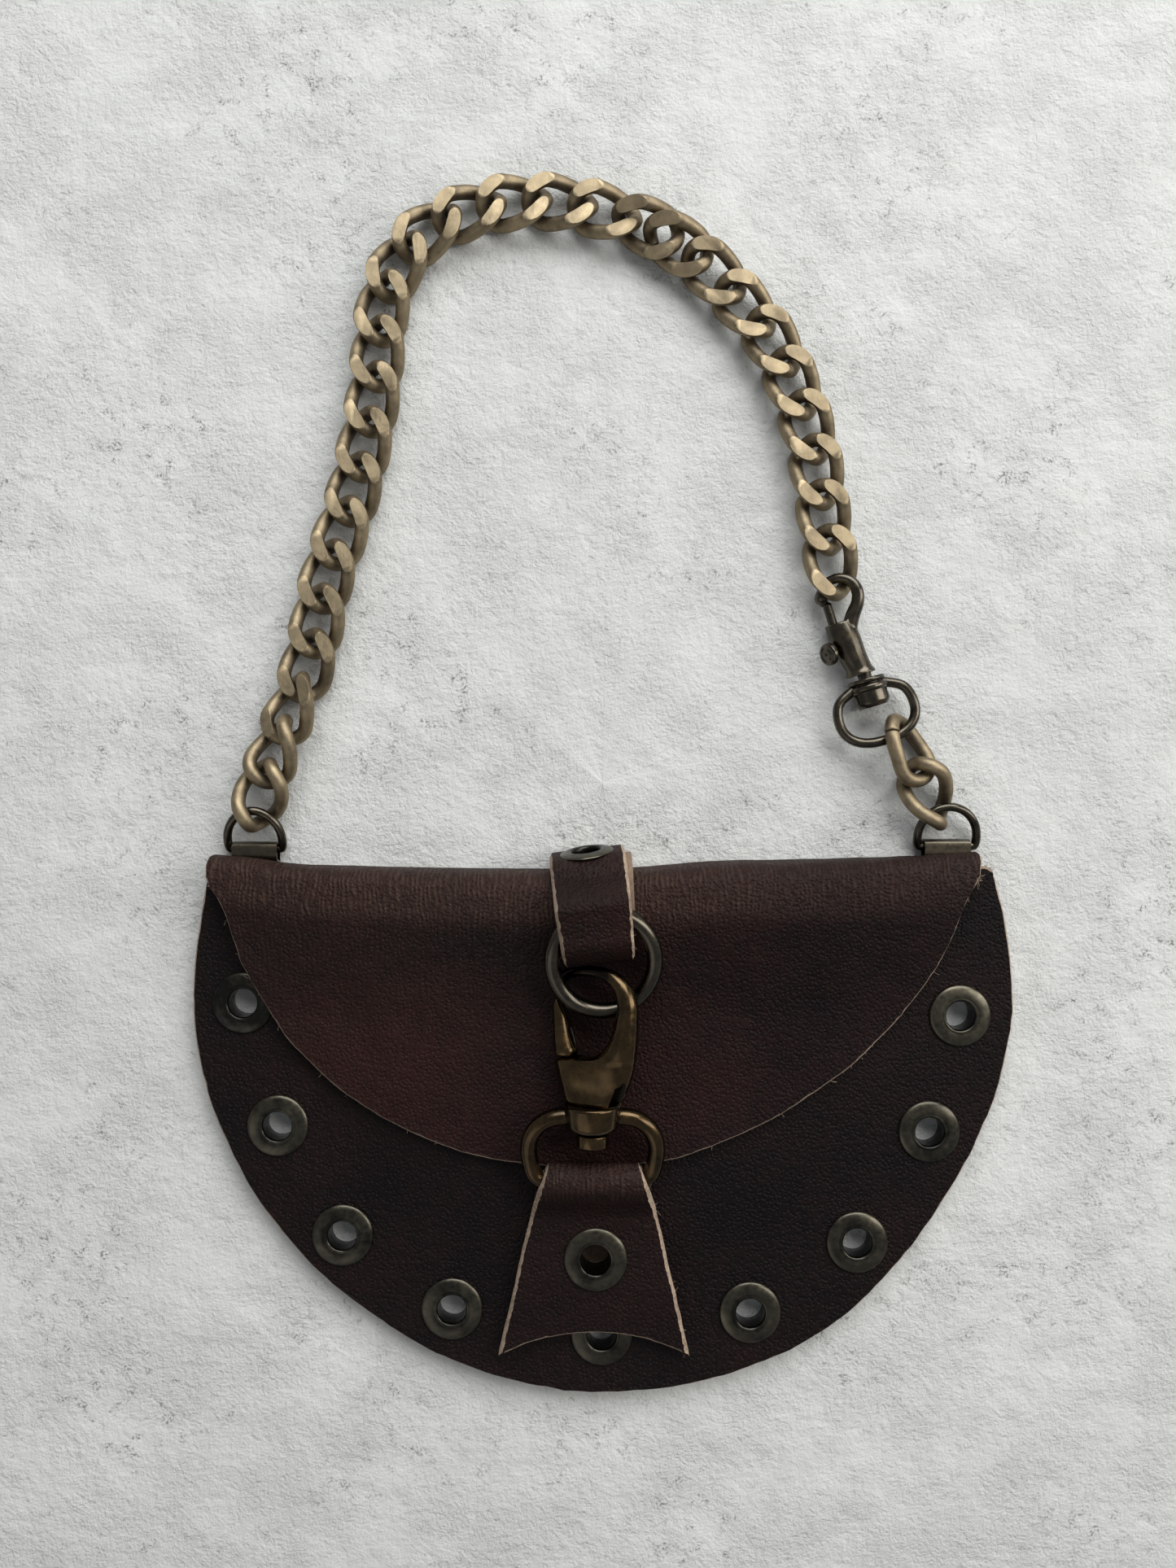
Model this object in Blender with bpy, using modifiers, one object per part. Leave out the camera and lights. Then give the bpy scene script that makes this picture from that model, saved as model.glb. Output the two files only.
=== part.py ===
"""A small half-moon leather wristlet lying flat: pouch, closure strap, clasp, wrist chain and snap.

Lengths are in millimetres here and become metres when a mesh is made. The origin is at the bottom
centre of the whole object, +Z is up, +Y runs from the pouch towards the far end of the chain.
"""

import math

import bmesh
import bpy
import numpy as np
from mathutils import Matrix, Vector

MM = 0.001

# Clearances
GAP = 0.3
PIN_GAP = 0.3

# Pouch
POUCH_HALF_WIDTH = 94.4
POUCH_WIDEST_Y = -52.4
POUCH_DEPTH = 88.1
FOLD_Y = -19.5
FOLD_NARROWING = 0.055
FOLD_SHIFT = -1.2
FOLD_CORNER_Y = -17.0
LEATHER = 1.6
ROLL_HEIGHT = 14.4
ROLL_CORNER_HEIGHT = 9.6
ROLL_DEPTH = 7.2
ROLL_LEAN = 0.12
ROLL_SQUARENESS = 3.4
ROLL_LEAN_Z = 3.0
RIM_LIFT = 1.2
RIM_BAND = 22.5
BACK_RAMP = 12.0
FRONT_RAMP = 24.0
FRONT_MOUTH_Y = -30.0
FRONT_SWELL = 3.6
FRONT_SWELL_REACH = 25.0
FRONT_SWELL_BASE = 0.8
FLAP_TIP_Y = -88.0
FLAP_SHIFT = -4.8
FLAP_HALF_WIDTH = 88.6
FLAP_SETTLE = 30.0
COLUMNS = 12

# Eyelets
EYELET_RADIUS = 7.0
EYELET_BACK_RADIUS = 6.1
EYELET_HOLE_RADIUS = 3.25
EYELET_BARREL_RADIUS = 3.9
EYELET_FLANGE = 0.9
EYELET_SIDES = 12
STRAP_EYELET_BACK_RADIUS = 4.7
STRAP_EYELET_FLANGE = 0.7
STRAP_EYELET_LOOSE = 1.0
TAB_EYELET_BACK_RADIUS = 4.6
TAB_EYELET_FLANGE = 0.7
# Holes cut for the eyelets' tubes: length, and height of the middle
RIM_HOLE_LENGTH = 7.0
RIM_HOLE_Z = 3.0
WALL_HOLE_LENGTH = 12.0
TAB_HOLE_LENGTH = 18.0
TAB_HOLE_Z = 12.2
# Rim eyelets: angle round the pouch from its left side, and share of the way out to the rim
RIM_EYELETS = (
    (-1.4, 0.874),
    (20.7, 0.844),
    (42.7, 0.860),
    (64.7, 0.857),
    (89.8, 0.842),
    (114.5, 0.862),
    (135.7, 0.862),
    (158.4, 0.852),
    (179.2, 0.867),
)

# Closure strap
STRAP_WIDTH = 17.2
STRAP_END_WIDTH = 15.8
STRAP_LEATHER = 1.4
STRAP_TILT = 7.0
STRAP_LOOP_X = -0.7
STRAP_LOOP_Y = -39.8
STRAP_FACE_RADIUS = 6.2

# O-ring
RING_RADIUS = 11.6
RING_WIRE = 3.3
RING_Y = -39.2
RING_Z = 17.1
RING_SLOPE = 0.23
RING_CANT = -0.08

# Swivel clasp
CLASP_X = -2.4
CLASP_Z = 15.6
CLASP_ROLL = 26.0
COLLAR_RADIUS = 6.3
COLLAR_Y = (-77.3, -71.9)
CLASP_PIN_RADIUS = 2.3
CLASP_BUTTON_RADIUS = 3.4
CLASP_BUTTON_Y = (-81.2, -78.4)
CLASP_BODY_Y = (-71.5, -61.6)
EYE_HALF_WIDTH = 14.2
EYE_WIRE = 3.8
EYE_BAR_Y = -88.7
EYE_BAR_Z = 12.2
# Hook, from the body round to the nose: across from the axis, y, radius
HOOK_COURSE = (
    (4.7, -66.0, 2.4),
    (6.8, -60.4, 2.6),
    (8.0, -55.6, 2.6),
    (8.5, -51.4, 2.3),
    (8.4, -47.6, 2.1),
    (7.1, -44.2, 1.8),
    (4.3, -42.4, 1.5),
    (0.6, -41.7, 1.3),
    (-3.3, -41.9, 1.2),
    (-6.6, -43.0, 1.2),
    (-8.5, -45.3, 1.3),
    (-8.9, -47.9, 1.4),
)
# Gate, from its tip to its hinge: across from the axis, y, radius
GATE_COURSE = (
    (-8.8, -48.9, 1.15),
    (-8.4, -52.6, 1.4),
    (-7.6, -56.7, 1.7),
    (-6.5, -59.8, 1.6),
    (-6.4, -61.0, 0.8),
)
# Clasp body: y, left and right edge across from the axis, half thickness
BODY_ROWS = (
    (-71.5, -4.9, 6.5, 2.9),
    (-66.0, -7.4, 8.9, 3.2),
    (-61.6, -8.6, 9.9, 2.7),
)

# Tab
TAB_FOLD_HALF_WIDTH = 10.4
TAB_END_HALF_WIDTH = 21.6
TAB_X = -2.1
TAB_END_Y = -130.0
TAB_HOLLOW = 5.0
TAB_BACK_CLEARANCE = 1.6
TAB_EYELET_X = -1.7
TAB_EYELET_Y = -107.7

# D-rings and their clips
D_WIRE = 2.0
D_HEIGHT = 9.6
D_BAR_Z = 1.75
CLIP_SHEET = 0.4
CLIP_TAIL = 9.0
# D-rings: name, bar centre x and y, outer width, clip width, tilt up
D_RINGS = (
    ("left", -80.4, -15.4, 14.6, 10.4, 22.7),
    ("right", 79.6, -14.8, 15.6, 10.6, 17.7),
)

# Chain
LINK_LENGTH = 17.6
LINK_WIDTH = 12.6
LINK_WIRE = 3.25
LINK_TWIST = 50.0
LINK_Z = 3.85
LINK_SLACK = 0.45
# The joint that lies drawn together: number of the link after it, and by how much
DRAWN_LINK = 20
DRAWN_BY = 2.6
# The chain's course from the left D-ring to the snap: link centres along it
CHAIN_COURSE = (
    (-78.3, -2.9),
    (-75.0, 7.6),
    (-68.0, 26.6),
    (-63.4, 47.3),
    (-57.1, 67.8),
    (-52.9, 88.8),
    (-50.6, 109.7),
    (-46.8, 119.6),
    (-39.8, 127.3),
    (-30.0, 131.6),
    (-19.7, 133.5),
    (-9.0, 133.2),
    (1.4, 130.9),
    (10.9, 127.0),
    (17.9, 123.0),
    (25.3, 117.2),
    (38.9, 101.5),
    (47.1, 81.7),
    (51.0, 60.5),
    (52.4, 50.5),
)
# Links that lie otherwise than the rest: number, roll, tilt, lift, share of the twist
ODD_LINKS = (
    (1, 8.2, 2.3, 1.33, 1.47),
    (2, -24.1, -0.8, 1.45, 1.22),
    (3, -24.4, 2.3, 0.92, 0.96),
    (18, 2.5, 0.0, 0.15, 1.0),
    (19, 28.5, -1.2, 1.15, 1.03),
    (20, 25.5, -3.0, 0.9, 1.05),
    (21, 9.5, -1.8, 0.35, 1.0),
    (27, 0.0, 0.0, 0.1, 1.0),
    (28, -1.5, 1.7, 0.45, 1.0),
)

# Short links between the snap and the right D-ring: name, x, y, z, heading, roll, tilt, share of the twist
SHORT_LINKS = (
    ("a", 69.87, 7.46, 5.13, -64.4, -41.1, 0.6, -0.35),
    ("b", 74.59, -2.6, 4.99, -68.3, -8.7, -1.1, 1.39),
)

# Snap
SNAP_X = 61.3
SNAP_Y = 20.6
SNAP_Z = 4.4
SNAP_TURN = 17.0
SNAP_ROLL = 20.0
# Snap hook, from its body round to the nose: across, along, radius
SNAP_HOOK_COURSE = (
    (-0.6, 14.5, 1.6),
    (1.2, 17.8, 1.6),
    (3.3, 20.6, 1.5),
    (4.0, 23.4, 1.4),
    (3.0, 26.0, 1.25),
    (0.6, 27.3, 1.15),
    (-2.0, 27.0, 1.15),
    (-3.8, 25.3, 1.25),
    (-4.1, 23.6, 1.6),
    (-4.1, 22.8, 0.9),
)
# Snap body: along, left and right edge, half thickness
SNAP_BODY_ROWS = (
    (4.6, -4.1, 2.6, 3.2),
    (5.6, -3.5, 2.0, 2.8),
    (9.5, -4.2, 1.4, 2.7),
    (14.0, -5.0, 1.3, 2.7),
    (17.4, -5.2, 0.8, 2.5),
)
SNAP_PIN_RADIUS = 1.6
SNAP_PIN_END = 6.0
SNAP_BOSS_RADIUS = 4.2
SNAP_BOSS = (0.6, 3.2)
SNAP_HEAD_RADIUS = 3.7
SNAP_HEAD = (-2.7, -0.4)
SNAP_EYE_WIRE = 2.3
SNAP_EYE_HALF_WIDTH = 8.9
SNAP_EYE_REACH = -11.4
SNAP_EYE_RISE = 0.06
BOLT_RADIUS = 1.1
BOLT_ACROSS = -3.4
BOLT_ALONG = (10.0, 22.4)
BOLT_TRAVEL = 4.0
BOLT_BORE_END = 19.0
KNOB_ALONG = 11.1
KNOB_RADIUS = 2.6
KNOB_LIFT = 50.0
KNOB_OUT = (3.3, 4.7)
STEM_RADIUS = 0.65


def half_width(y):
    """Half the pouch's width at y."""
    if y >= POUCH_WIDEST_Y:
        up = (y - POUCH_WIDEST_Y) / (FOLD_Y - POUCH_WIDEST_Y)
        return POUCH_HALF_WIDTH * (1 - FOLD_NARROWING * up * up)
    down = (POUCH_WIDEST_Y - y) / POUCH_DEPTH
    return POUCH_HALF_WIDTH * math.sqrt(max(0.0, 1 - down * down))


def centre_x(y):
    up = max(0.0, (y - POUCH_WIDEST_Y) / (FOLD_Y - POUCH_WIDEST_Y))
    return FOLD_SHIFT * up * up


def smooth(share):
    share = min(1.0, max(0.0, share))
    return share * share * (3 - 2 * share)


def rim_distance(x, y):
    """How far inside the pouch's rim a point is, about."""
    if y >= POUCH_WIDEST_Y:
        return half_width(y) - abs(x - centre_x(y))
    return POUCH_HALF_WIDTH * (1 - math.hypot(x / POUCH_HALF_WIDTH, (POUCH_WIDEST_Y - y) / POUCH_DEPTH))


def back_bottom(x, y):
    """Underside of the back panel: raised along the rim by the eyelets' back flanges."""
    return RIM_LIFT - (RIM_LIFT - 0.1) * smooth((rim_distance(x, y) - RIM_BAND) / BACK_RAMP)


def front_bottom(x, y):
    """Underside of the front panel, which swells towards the mouth."""
    swell = FRONT_SWELL_BASE + FRONT_SWELL * math.exp((min(y, FRONT_MOUTH_Y) - FRONT_MOUTH_Y) / FRONT_SWELL_REACH)
    rest = RIM_LIFT + LEATHER + GAP
    return rest + swell * smooth((rim_distance(x, min(y, FRONT_MOUTH_Y)) - RIM_BAND) / FRONT_RAMP)


def fold_y(x):
    return FOLD_Y + (FOLD_CORNER_Y - FOLD_Y) * abs(x / POUCH_HALF_WIDTH) ** 3


def roll_height(x):
    return ROLL_CORNER_HEIGHT + (ROLL_HEIGHT - ROLL_CORNER_HEIGHT) * (1 - (x / POUCH_HALF_WIDTH) ** 2)


def roll_end_y(x):
    return fold_y(x) - ROLL_DEPTH * roll_height(x) / ROLL_HEIGHT


def flap_top(x, y):
    """Top of the flap: it comes down from the roll to lie over the front panel and its eyelets."""
    rest = max(RIM_LIFT + 2 * LEATHER + GAP + EYELET_FLANGE + 2 * GAP, front_bottom(x, y) + LEATHER) + GAP + LEATHER
    start = roll_end_y(x)
    if y >= start:
        return roll_height(x)
    lift = roll_height(x) - max(
        RIM_LIFT + 2 * LEATHER + GAP + EYELET_FLANGE + 2 * GAP, front_bottom(x, start) + LEATHER
    ) - GAP - LEATHER
    return rest + lift * (1 - smooth((start - y) / FLAP_SETTLE))


def roll_point(x, angle, inset):
    """A point of the roll's section at x: angle from -90 (underneath) over 0 (the wall) to 90 (on top)."""
    high = roll_height(x)
    low = back_bottom(x, roll_end_y(x))
    deep = fold_y(x) - roll_end_y(x) - inset
    power = 2.0 / ROLL_SQUARENESS
    turn = math.radians(angle)
    across = abs(math.cos(turn)) ** power
    rise = math.copysign(abs(math.sin(turn)) ** power, math.sin(turn))
    z = (low + high) / 2 + ((high - low) / 2 - inset) * rise
    y = roll_end_y(x) + deep * across
    return (y - ROLL_LEAN * (z - ROLL_LEAN_Z) * across * (high / ROLL_HEIGHT), z)


def spaced(count):
    """Shares from -1 to 1, closer together towards the ends."""
    return [math.sin(math.pi / 2 * (2 * i / count - 1)) for i in range(count + 1)]


def clear_scene():
    for item in list(bpy.data.objects):
        bpy.data.objects.remove(item, do_unlink=True)


def make_material(name, colour, metallic, roughness):
    material = bpy.data.materials.new(name)
    material.use_nodes = True
    shader = material.node_tree.nodes["Principled BSDF"]
    shader.inputs["Base Color"].default_value = (*colour, 1.0)
    shader.inputs["Metallic"].default_value = metallic
    shader.inputs["Roughness"].default_value = roughness
    material.diffuse_color = (*colour, 1.0)
    return material


def to_mesh(name, points, faces):
    mesh = bpy.data.meshes.new(name)
    mesh.from_pydata([tuple(float(v) * MM for v in p) for p in points], [], faces)
    mesh.validate()
    work = bmesh.new()
    work.from_mesh(mesh)
    bmesh.ops.recalc_face_normals(work, faces=work.faces)
    work.to_mesh(mesh)
    work.free()
    mesh.update()
    return mesh


def add(name, data, material, group):
    item = bpy.data.objects.new(name, data)
    item.data.materials.append(material)
    group.objects.link(item)
    return item


def sheet_faces(rows):
    """Points and faces of a sheet of rows; a row of one point is a tip."""
    points = []
    starts = []
    for row in rows:
        starts.append(len(points))
        points.extend(row)
    faces = []
    for i in range(len(rows) - 1):
        a, b = starts[i], starts[i + 1]
        here, there = len(rows[i]), len(rows[i + 1])
        for j in range(max(here, there) - 1):
            if there == 1:
                faces.append((a + j, a + j + 1, b))
            elif here == 1:
                faces.append((a, b + j + 1, b + j))
            else:
                faces.append((a + j, a + j + 1, b + j + 1, b + j))
    return points, faces


def leather_sheet(name, rows, thickness, material, group):
    """A sheet of leather along its middle surface, thickened with Solidify."""
    points, faces = sheet_faces(rows)
    mesh = bpy.data.meshes.new(name)
    mesh.from_pydata([tuple(float(v) * MM for v in p) for p in points], [], faces)
    item = add(name, mesh, material, group)
    thicken = item.modifiers.new("thickness", "SOLIDIFY")
    thicken.thickness = thickness * MM
    thicken.offset = 0.0
    thicken.use_even_offset = True
    thicken.use_quality_normals = True
    return item


def spun(profile, sides):
    """Points and faces of a closed profile of (radius, height) turned about Z. Radius 0 closes at the axis."""
    points = []
    for radius, height in profile:
        for k in range(sides):
            turn = 2 * math.pi * (k + 0.5) / sides
            points.append((radius * math.cos(turn), radius * math.sin(turn), height))
    faces = []
    count = len(profile)
    for i in range(count):
        a, b = i * sides, (i + 1) % count * sides
        for k in range(sides):
            n = (k + 1) % sides
            faces.append((a + k, a + n, b + n, b + k))
    return points, faces


def solid_rod(profile, sides):
    """Points and faces of a rod of rows of (radius, height), closed by a face at each end."""
    points, _ = spun(profile, sides)
    faces = [tuple(reversed(range(sides)))]
    for i in range(len(profile) - 1):
        a, b = i * sides, (i + 1) * sides
        for k in range(sides):
            n = (k + 1) % sides
            faces.append((a + k, a + n, b + n, b + k))
    last = (len(profile) - 1) * sides
    faces.append(tuple(last + k for k in range(sides)))
    return points, faces


def moved(points, matrix):
    return [tuple(matrix @ Vector(p)) for p in points]


def pointing(direction, place):
    """Matrix that stands Z along a direction at a place."""
    return Matrix.Translation(Vector(place)) @ Vector(direction).to_track_quat("Z", "Y").to_matrix().to_4x4()


def wire(name, points, radii, cyclic, material, group, resolution=1):
    """A round wire along a course of points, as a curve with a bevel and filled ends."""
    curve = bpy.data.curves.new(name, "CURVE")
    curve.dimensions = "3D"
    curve.bevel_depth = MM
    curve.bevel_resolution = resolution
    curve.use_fill_caps = not cyclic
    spline = curve.splines.new("POLY")
    spline.points.add(len(points) - 1)
    for i, p in enumerate(points):
        spline.points[i].co = (p[0] * MM, p[1] * MM, p[2] * MM, 1.0)
        spline.points[i].radius = radii[i] if isinstance(radii, (list, tuple)) else radii
    spline.use_cyclic_u = cyclic
    return add(name, curve, material, group)


def as_mesh(item, group):
    """Turns a curve object into a mesh object of the same name."""
    graph = bpy.context.evaluated_depsgraph_get()
    bpy.context.view_layer.update()
    mesh = bpy.data.meshes.new_from_object(item.evaluated_get(graph))
    work = bmesh.new()
    work.from_mesh(mesh)
    bmesh.ops.remove_doubles(work, verts=work.verts, dist=0.00001)
    bmesh.ops.recalc_face_normals(work, faces=work.faces)
    work.to_mesh(mesh)
    work.free()
    name = item.name
    material = item.data.materials[0]
    bpy.data.objects.remove(item, do_unlink=True)
    mesh.materials.clear()
    return add(name, mesh, material, group)


def combine(item, other, operation, label):
    modifier = item.modifiers.new(label, "BOOLEAN")
    modifier.operation = operation
    modifier.solver = "EXACT"
    modifier.object = other
    return modifier


def tool(name, points, faces, material, tools):
    """A hidden mesh for a Boolean to use."""
    item = add(name, to_mesh(name, points, faces), material, tools)
    item.hide_render = True
    item.display_type = "WIRE"
    return item


def joined(parts):
    points = []
    faces = []
    for some, more in parts:
        base = len(points)
        points.extend(some)
        faces.extend(tuple(base + i for i in face) for face in more)
    return points, faces


def loft(rows, corner=0.35):
    """A body of rows of (place along, left, right, half thickness, middle height), each an octagon."""
    points = []
    for along, left, right, half, middle in rows:
        cut_x = (right - left) * corner / 2
        cut_z = half * 2 * corner / 1.4
        ring = (
            (left + cut_x, -half),
            (right - cut_x, -half),
            (right, -half + cut_z),
            (right, half - cut_z),
            (right - cut_x, half),
            (left + cut_x, half),
            (left, half - cut_z),
            (left, -half + cut_z),
        )
        points.extend((x, along, z + middle) for x, z in ring)
    faces = [tuple(range(8))]
    for i in range(len(rows) - 1):
        for k in range(8):
            n = (k + 1) % 8
            faces.append((i * 8 + k, i * 8 + n, i * 8 + 8 + n, i * 8 + 8 + k))
    faces.append(tuple(reversed(range(len(points) - 8, len(points)))))
    return points, faces


def rim_eyelet_places():
    places = []
    for angle, share in RIM_EYELETS:
        turn = math.radians(angle)
        x = -POUCH_HALF_WIDTH * share * math.cos(turn)
        y = POUCH_WIDEST_Y - POUCH_DEPTH * share * math.sin(turn)
        places.append((x, y))
    return places


def eyelet_profile(bottom, under, over, back_radius):
    """Section of an eyelet that grips the leather from under to over; bottom is its back flange's underside."""
    return (
        (EYELET_HOLE_RADIUS, bottom),
        (back_radius, bottom),
        (back_radius, under),
        (EYELET_BARREL_RADIUS, under),
        (EYELET_BARREL_RADIUS, over),
        (EYELET_RADIUS, over),
        (EYELET_RADIUS - 0.5, over + EYELET_FLANGE),
        (EYELET_HOLE_RADIUS, over + EYELET_FLANGE),
    )


def hole_tool(radius, length):
    return solid_rod(((radius, -length / 2), (radius, length / 2)), 10)


def back_rows():
    """Middle surface of the back panel, the roll and the flap, from the pouch's bottom to the flap's tip."""
    shares = spaced(COLUMNS)
    half = LEATHER / 2
    rows = [[(0.0, POUCH_WIDEST_Y - POUCH_DEPTH, back_bottom(0.0, POUCH_WIDEST_Y - POUCH_DEPTH) + half)]]
    for step in range(7, 0, -1):
        turn = math.pi / 2 * step / 8
        y = POUCH_WIDEST_Y - POUCH_DEPTH * math.sin(turn)
        rows.append([(half_width(y) * s, y, back_bottom(half_width(y) * s, y) + half) for s in shares])
    for part in (0.0, 0.45):
        y = POUCH_WIDEST_Y + (FOLD_Y - ROLL_DEPTH - POUCH_WIDEST_Y) * part
        xs = [centre_x(y) + half_width(y) * s for s in shares]
        rows.append([(x, y, back_bottom(x, y) + half) for x in xs])
    top = [centre_x(FOLD_Y) + FLAP_HALF_WIDTH * s for s in shares]
    for angle in (-90, -62, -36, 0, 36, 62, 90):
        rows.append([(x, *roll_point(x, angle, half)) for x in top])
    start = FOLD_Y - ROLL_DEPTH
    for step in range(1, 9):
        part = math.sin(math.pi / 2 * step / 8)
        y = start + (FLAP_TIP_Y - start) * part
        down = (FOLD_Y - y) / (FOLD_Y - FLAP_TIP_Y)
        middle = FOLD_SHIFT + FLAP_SHIFT * down
        if step == 8:
            rows.append([(middle, y, flap_top(middle, y) - half)])
            continue
        wide = FLAP_HALF_WIDTH * math.sqrt(max(0.0, 1 - down ** 1.7))
        row = []
        for s in shares:
            x = middle + wide * s
            bent = y + (roll_end_y(x) - start) * (1 - down) ** 2
            row.append((x, bent, flap_top(x, bent) - half))
        rows.append(row)
    return rows


def front_rows():
    shares = spaced(COLUMNS)
    half = LEATHER / 2
    rows = []
    for y in (FRONT_MOUTH_Y, (FRONT_MOUTH_Y + POUCH_WIDEST_Y) / 2, POUCH_WIDEST_Y):
        xs = [centre_x(y) + half_width(y) * s for s in shares]
        rows.append([(x, y, front_bottom(x, y) + half) for x in xs])
    for step in range(1, 8):
        turn = math.pi / 2 * step / 8
        y = POUCH_WIDEST_Y - POUCH_DEPTH * math.sin(turn)
        rows.append([(half_width(y) * s, y, front_bottom(half_width(y) * s, y) + half) for s in shares])
    tip = POUCH_WIDEST_Y - POUCH_DEPTH
    rows.append([(0.0, tip, front_bottom(0.0, tip) + half)])
    return rows


def tab_layers():
    """Heights of the tab's two layers and of the front panel at the tab's eyelet."""
    panel = front_bottom(TAB_EYELET_X, TAB_EYELET_Y)
    lower = panel + LEATHER + 2 * GAP
    upper = lower + STRAP_LEATHER + GAP
    return panel, lower, upper


def tab_back_end():
    """The tab's back layer stops short of the rim eyelet below it."""
    lowest = min(y for _, y in rim_eyelet_places())
    return lowest + EYELET_RADIUS + TAB_BACK_CLEARANCE


def tab_half_width(y):
    fold = EYE_BAR_Y + EYE_WIRE / 2 + GAP + STRAP_LEATHER
    share = max(0.0, (fold - y) / (fold - TAB_END_Y))
    return TAB_FOLD_HALF_WIDTH + (TAB_END_HALF_WIDTH - TAB_FOLD_HALF_WIDTH) * share ** 0.85


def tab_rows():
    """Middle surface of the tab: short back layer, round the eye's bar, long front layer."""
    _, lower, upper = tab_layers()
    half = STRAP_LEATHER / 2
    bend = EYE_WIRE / 2 + GAP + half
    course = [
        (tab_back_end(), lower + half, 0.86),
        (TAB_EYELET_Y, lower + half, 0.86),
        (EYE_BAR_Y - 8.5, lower + half + 0.1, 0.88),
        (EYE_BAR_Y - 4.0, EYE_BAR_Z - bend - 0.8, 0.94),
    ]
    for turn in (-90, -55, -20, 15, 50, 85, 110, 135):
        angle = math.radians(turn)
        course.append((EYE_BAR_Y + bend * math.cos(angle), EYE_BAR_Z + bend * math.sin(angle), 1.0))
    course += [
        (EYE_BAR_Y - 4.6, EYE_BAR_Z - 0.9, 1.0),
        (EYE_BAR_Y - 8.6, upper + half + 0.3, 1.0),
        (TAB_EYELET_Y + 6.0, upper + half, 1.0),
        (TAB_EYELET_Y - 8.0, upper + half, 1.0),
        (TAB_END_Y, upper + half - 0.6, 1.0),
    ]
    rows = []
    for i, (y, z, share) in enumerate(course):
        row = []
        for s in (-1.0, -0.5, 0.0, 0.5, 1.0):
            hollow = TAB_HOLLOW * (1 - s * s) if i == len(course) - 1 else 0.0
            row.append((TAB_X + tab_half_width(y) * share * s, y + hollow, z))
        rows.append(row)
    return rows


def outline_offset(line, distance):
    """A polyline of (q, z) moved sideways by a distance, away from the leather under it."""
    line = np.array(line)
    ahead = np.gradient(line, axis=0)
    ahead /= np.linalg.norm(ahead, axis=1)[:, None]
    return line + distance * np.stack([ahead[:, 1], -ahead[:, 0]], 1)


def strap_frame():
    """Across and along directions of the strap, and the place of its loop's end."""
    tilt = math.radians(STRAP_TILT)
    along = (-math.sin(tilt), math.cos(tilt))
    across = (math.cos(tilt), math.sin(tilt))
    return along, across


def ring_height(x, y):
    return RING_Z + RING_SLOPE * (y - RING_Y) + RING_CANT * x


def strap_under():
    """The surface that the strap lies on, from the loop's end up the flap, over the roll and down its wall."""
    sink = (STRAP_WIDTH / 2) * math.sin(math.radians(STRAP_TILT))
    line = []
    for y in (STRAP_LOOP_Y + 3.5, STRAP_LOOP_Y + 7.0, STRAP_LOOP_Y + 10.0):
        line.append((y, flap_top(0.0, y)))
    for angle in (90, 66, 44, 20, -8, -34):
        y, z = roll_point(0.0, angle, 0.0)
        line.append((y + sink, z))
    return line


def strap_rows():
    half = STRAP_LEATHER / 2
    under = strap_under()
    lower = outline_offset(under[::-1], GAP + 0.1 + half)[::-1]
    upper = outline_offset(under[::-1], 2 * GAP + 0.1 + 1.5 * STRAP_LEATHER)[::-1]
    along, across = strap_frame()
    clear = RING_WIRE / 2 + GAP + half
    course = [(q, z, 0.0) for q, z in lower[::-1]]
    loop_low = flap_top(0.0, STRAP_LOOP_Y + 1.0) + GAP + half + 0.2
    course += [
        (STRAP_LOOP_Y + 1.6, loop_low + 0.3, 0.0),
        (STRAP_LOOP_Y + 0.7, loop_low + 1.8, 0.3),
        (STRAP_LOOP_Y + 1.0, loop_low + 4.0, 0.7),
    ]
    for y in (STRAP_LOOP_Y + 4.0, STRAP_LOOP_Y + 7.5, STRAP_LOOP_Y + 11.0, STRAP_LOOP_Y + 14.0):
        course.append((y, ring_height(0.0, min(y, RING_Y + RING_RADIUS - 0.6)) + clear + 0.15, 1.0))
    keep = [(q, z, 0.0) for q, z in upper]
    course += keep[4:]
    rows = []
    loop_x = STRAP_LOOP_X
    for i, (q, z, cant) in enumerate(course):
        share = min(1.0, max(0.0, (q - STRAP_LOOP_Y) / 22.0))
        width = STRAP_END_WIDTH + (STRAP_WIDTH - STRAP_END_WIDTH) * share
        reach = (q - STRAP_LOOP_Y) / along[1]
        row = []
        for s in (-0.5, 0.0, 0.5):
            x = loop_x + along[0] * reach + across[0] * width * s
            y = STRAP_LOOP_Y + along[1] * reach + across[1] * width * s
            row.append((x, y, z + RING_CANT * cant * across[0] * width * s))
        rows.append(row)
    return rows


def wall_frame():
    """Place and outward direction of the strap's face on the roll's wall, where its eyelet sits."""
    along, across = strap_frame()
    low = roll_point(0.0, -30, 0.0)
    high = roll_point(0.0, 30, 0.0)
    lean = math.atan2(low[0] - high[0], high[1] - low[1])
    middle = (low[1] + high[1]) / 2
    reach = ((low[0] + high[0]) / 2 - STRAP_LOOP_Y) / along[1]
    place = (STRAP_LOOP_X + along[0] * reach, STRAP_LOOP_Y + along[1] * reach, middle)
    outward = (along[0] * math.cos(lean), along[1] * math.cos(lean), math.sin(lean))
    return place, outward


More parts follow.
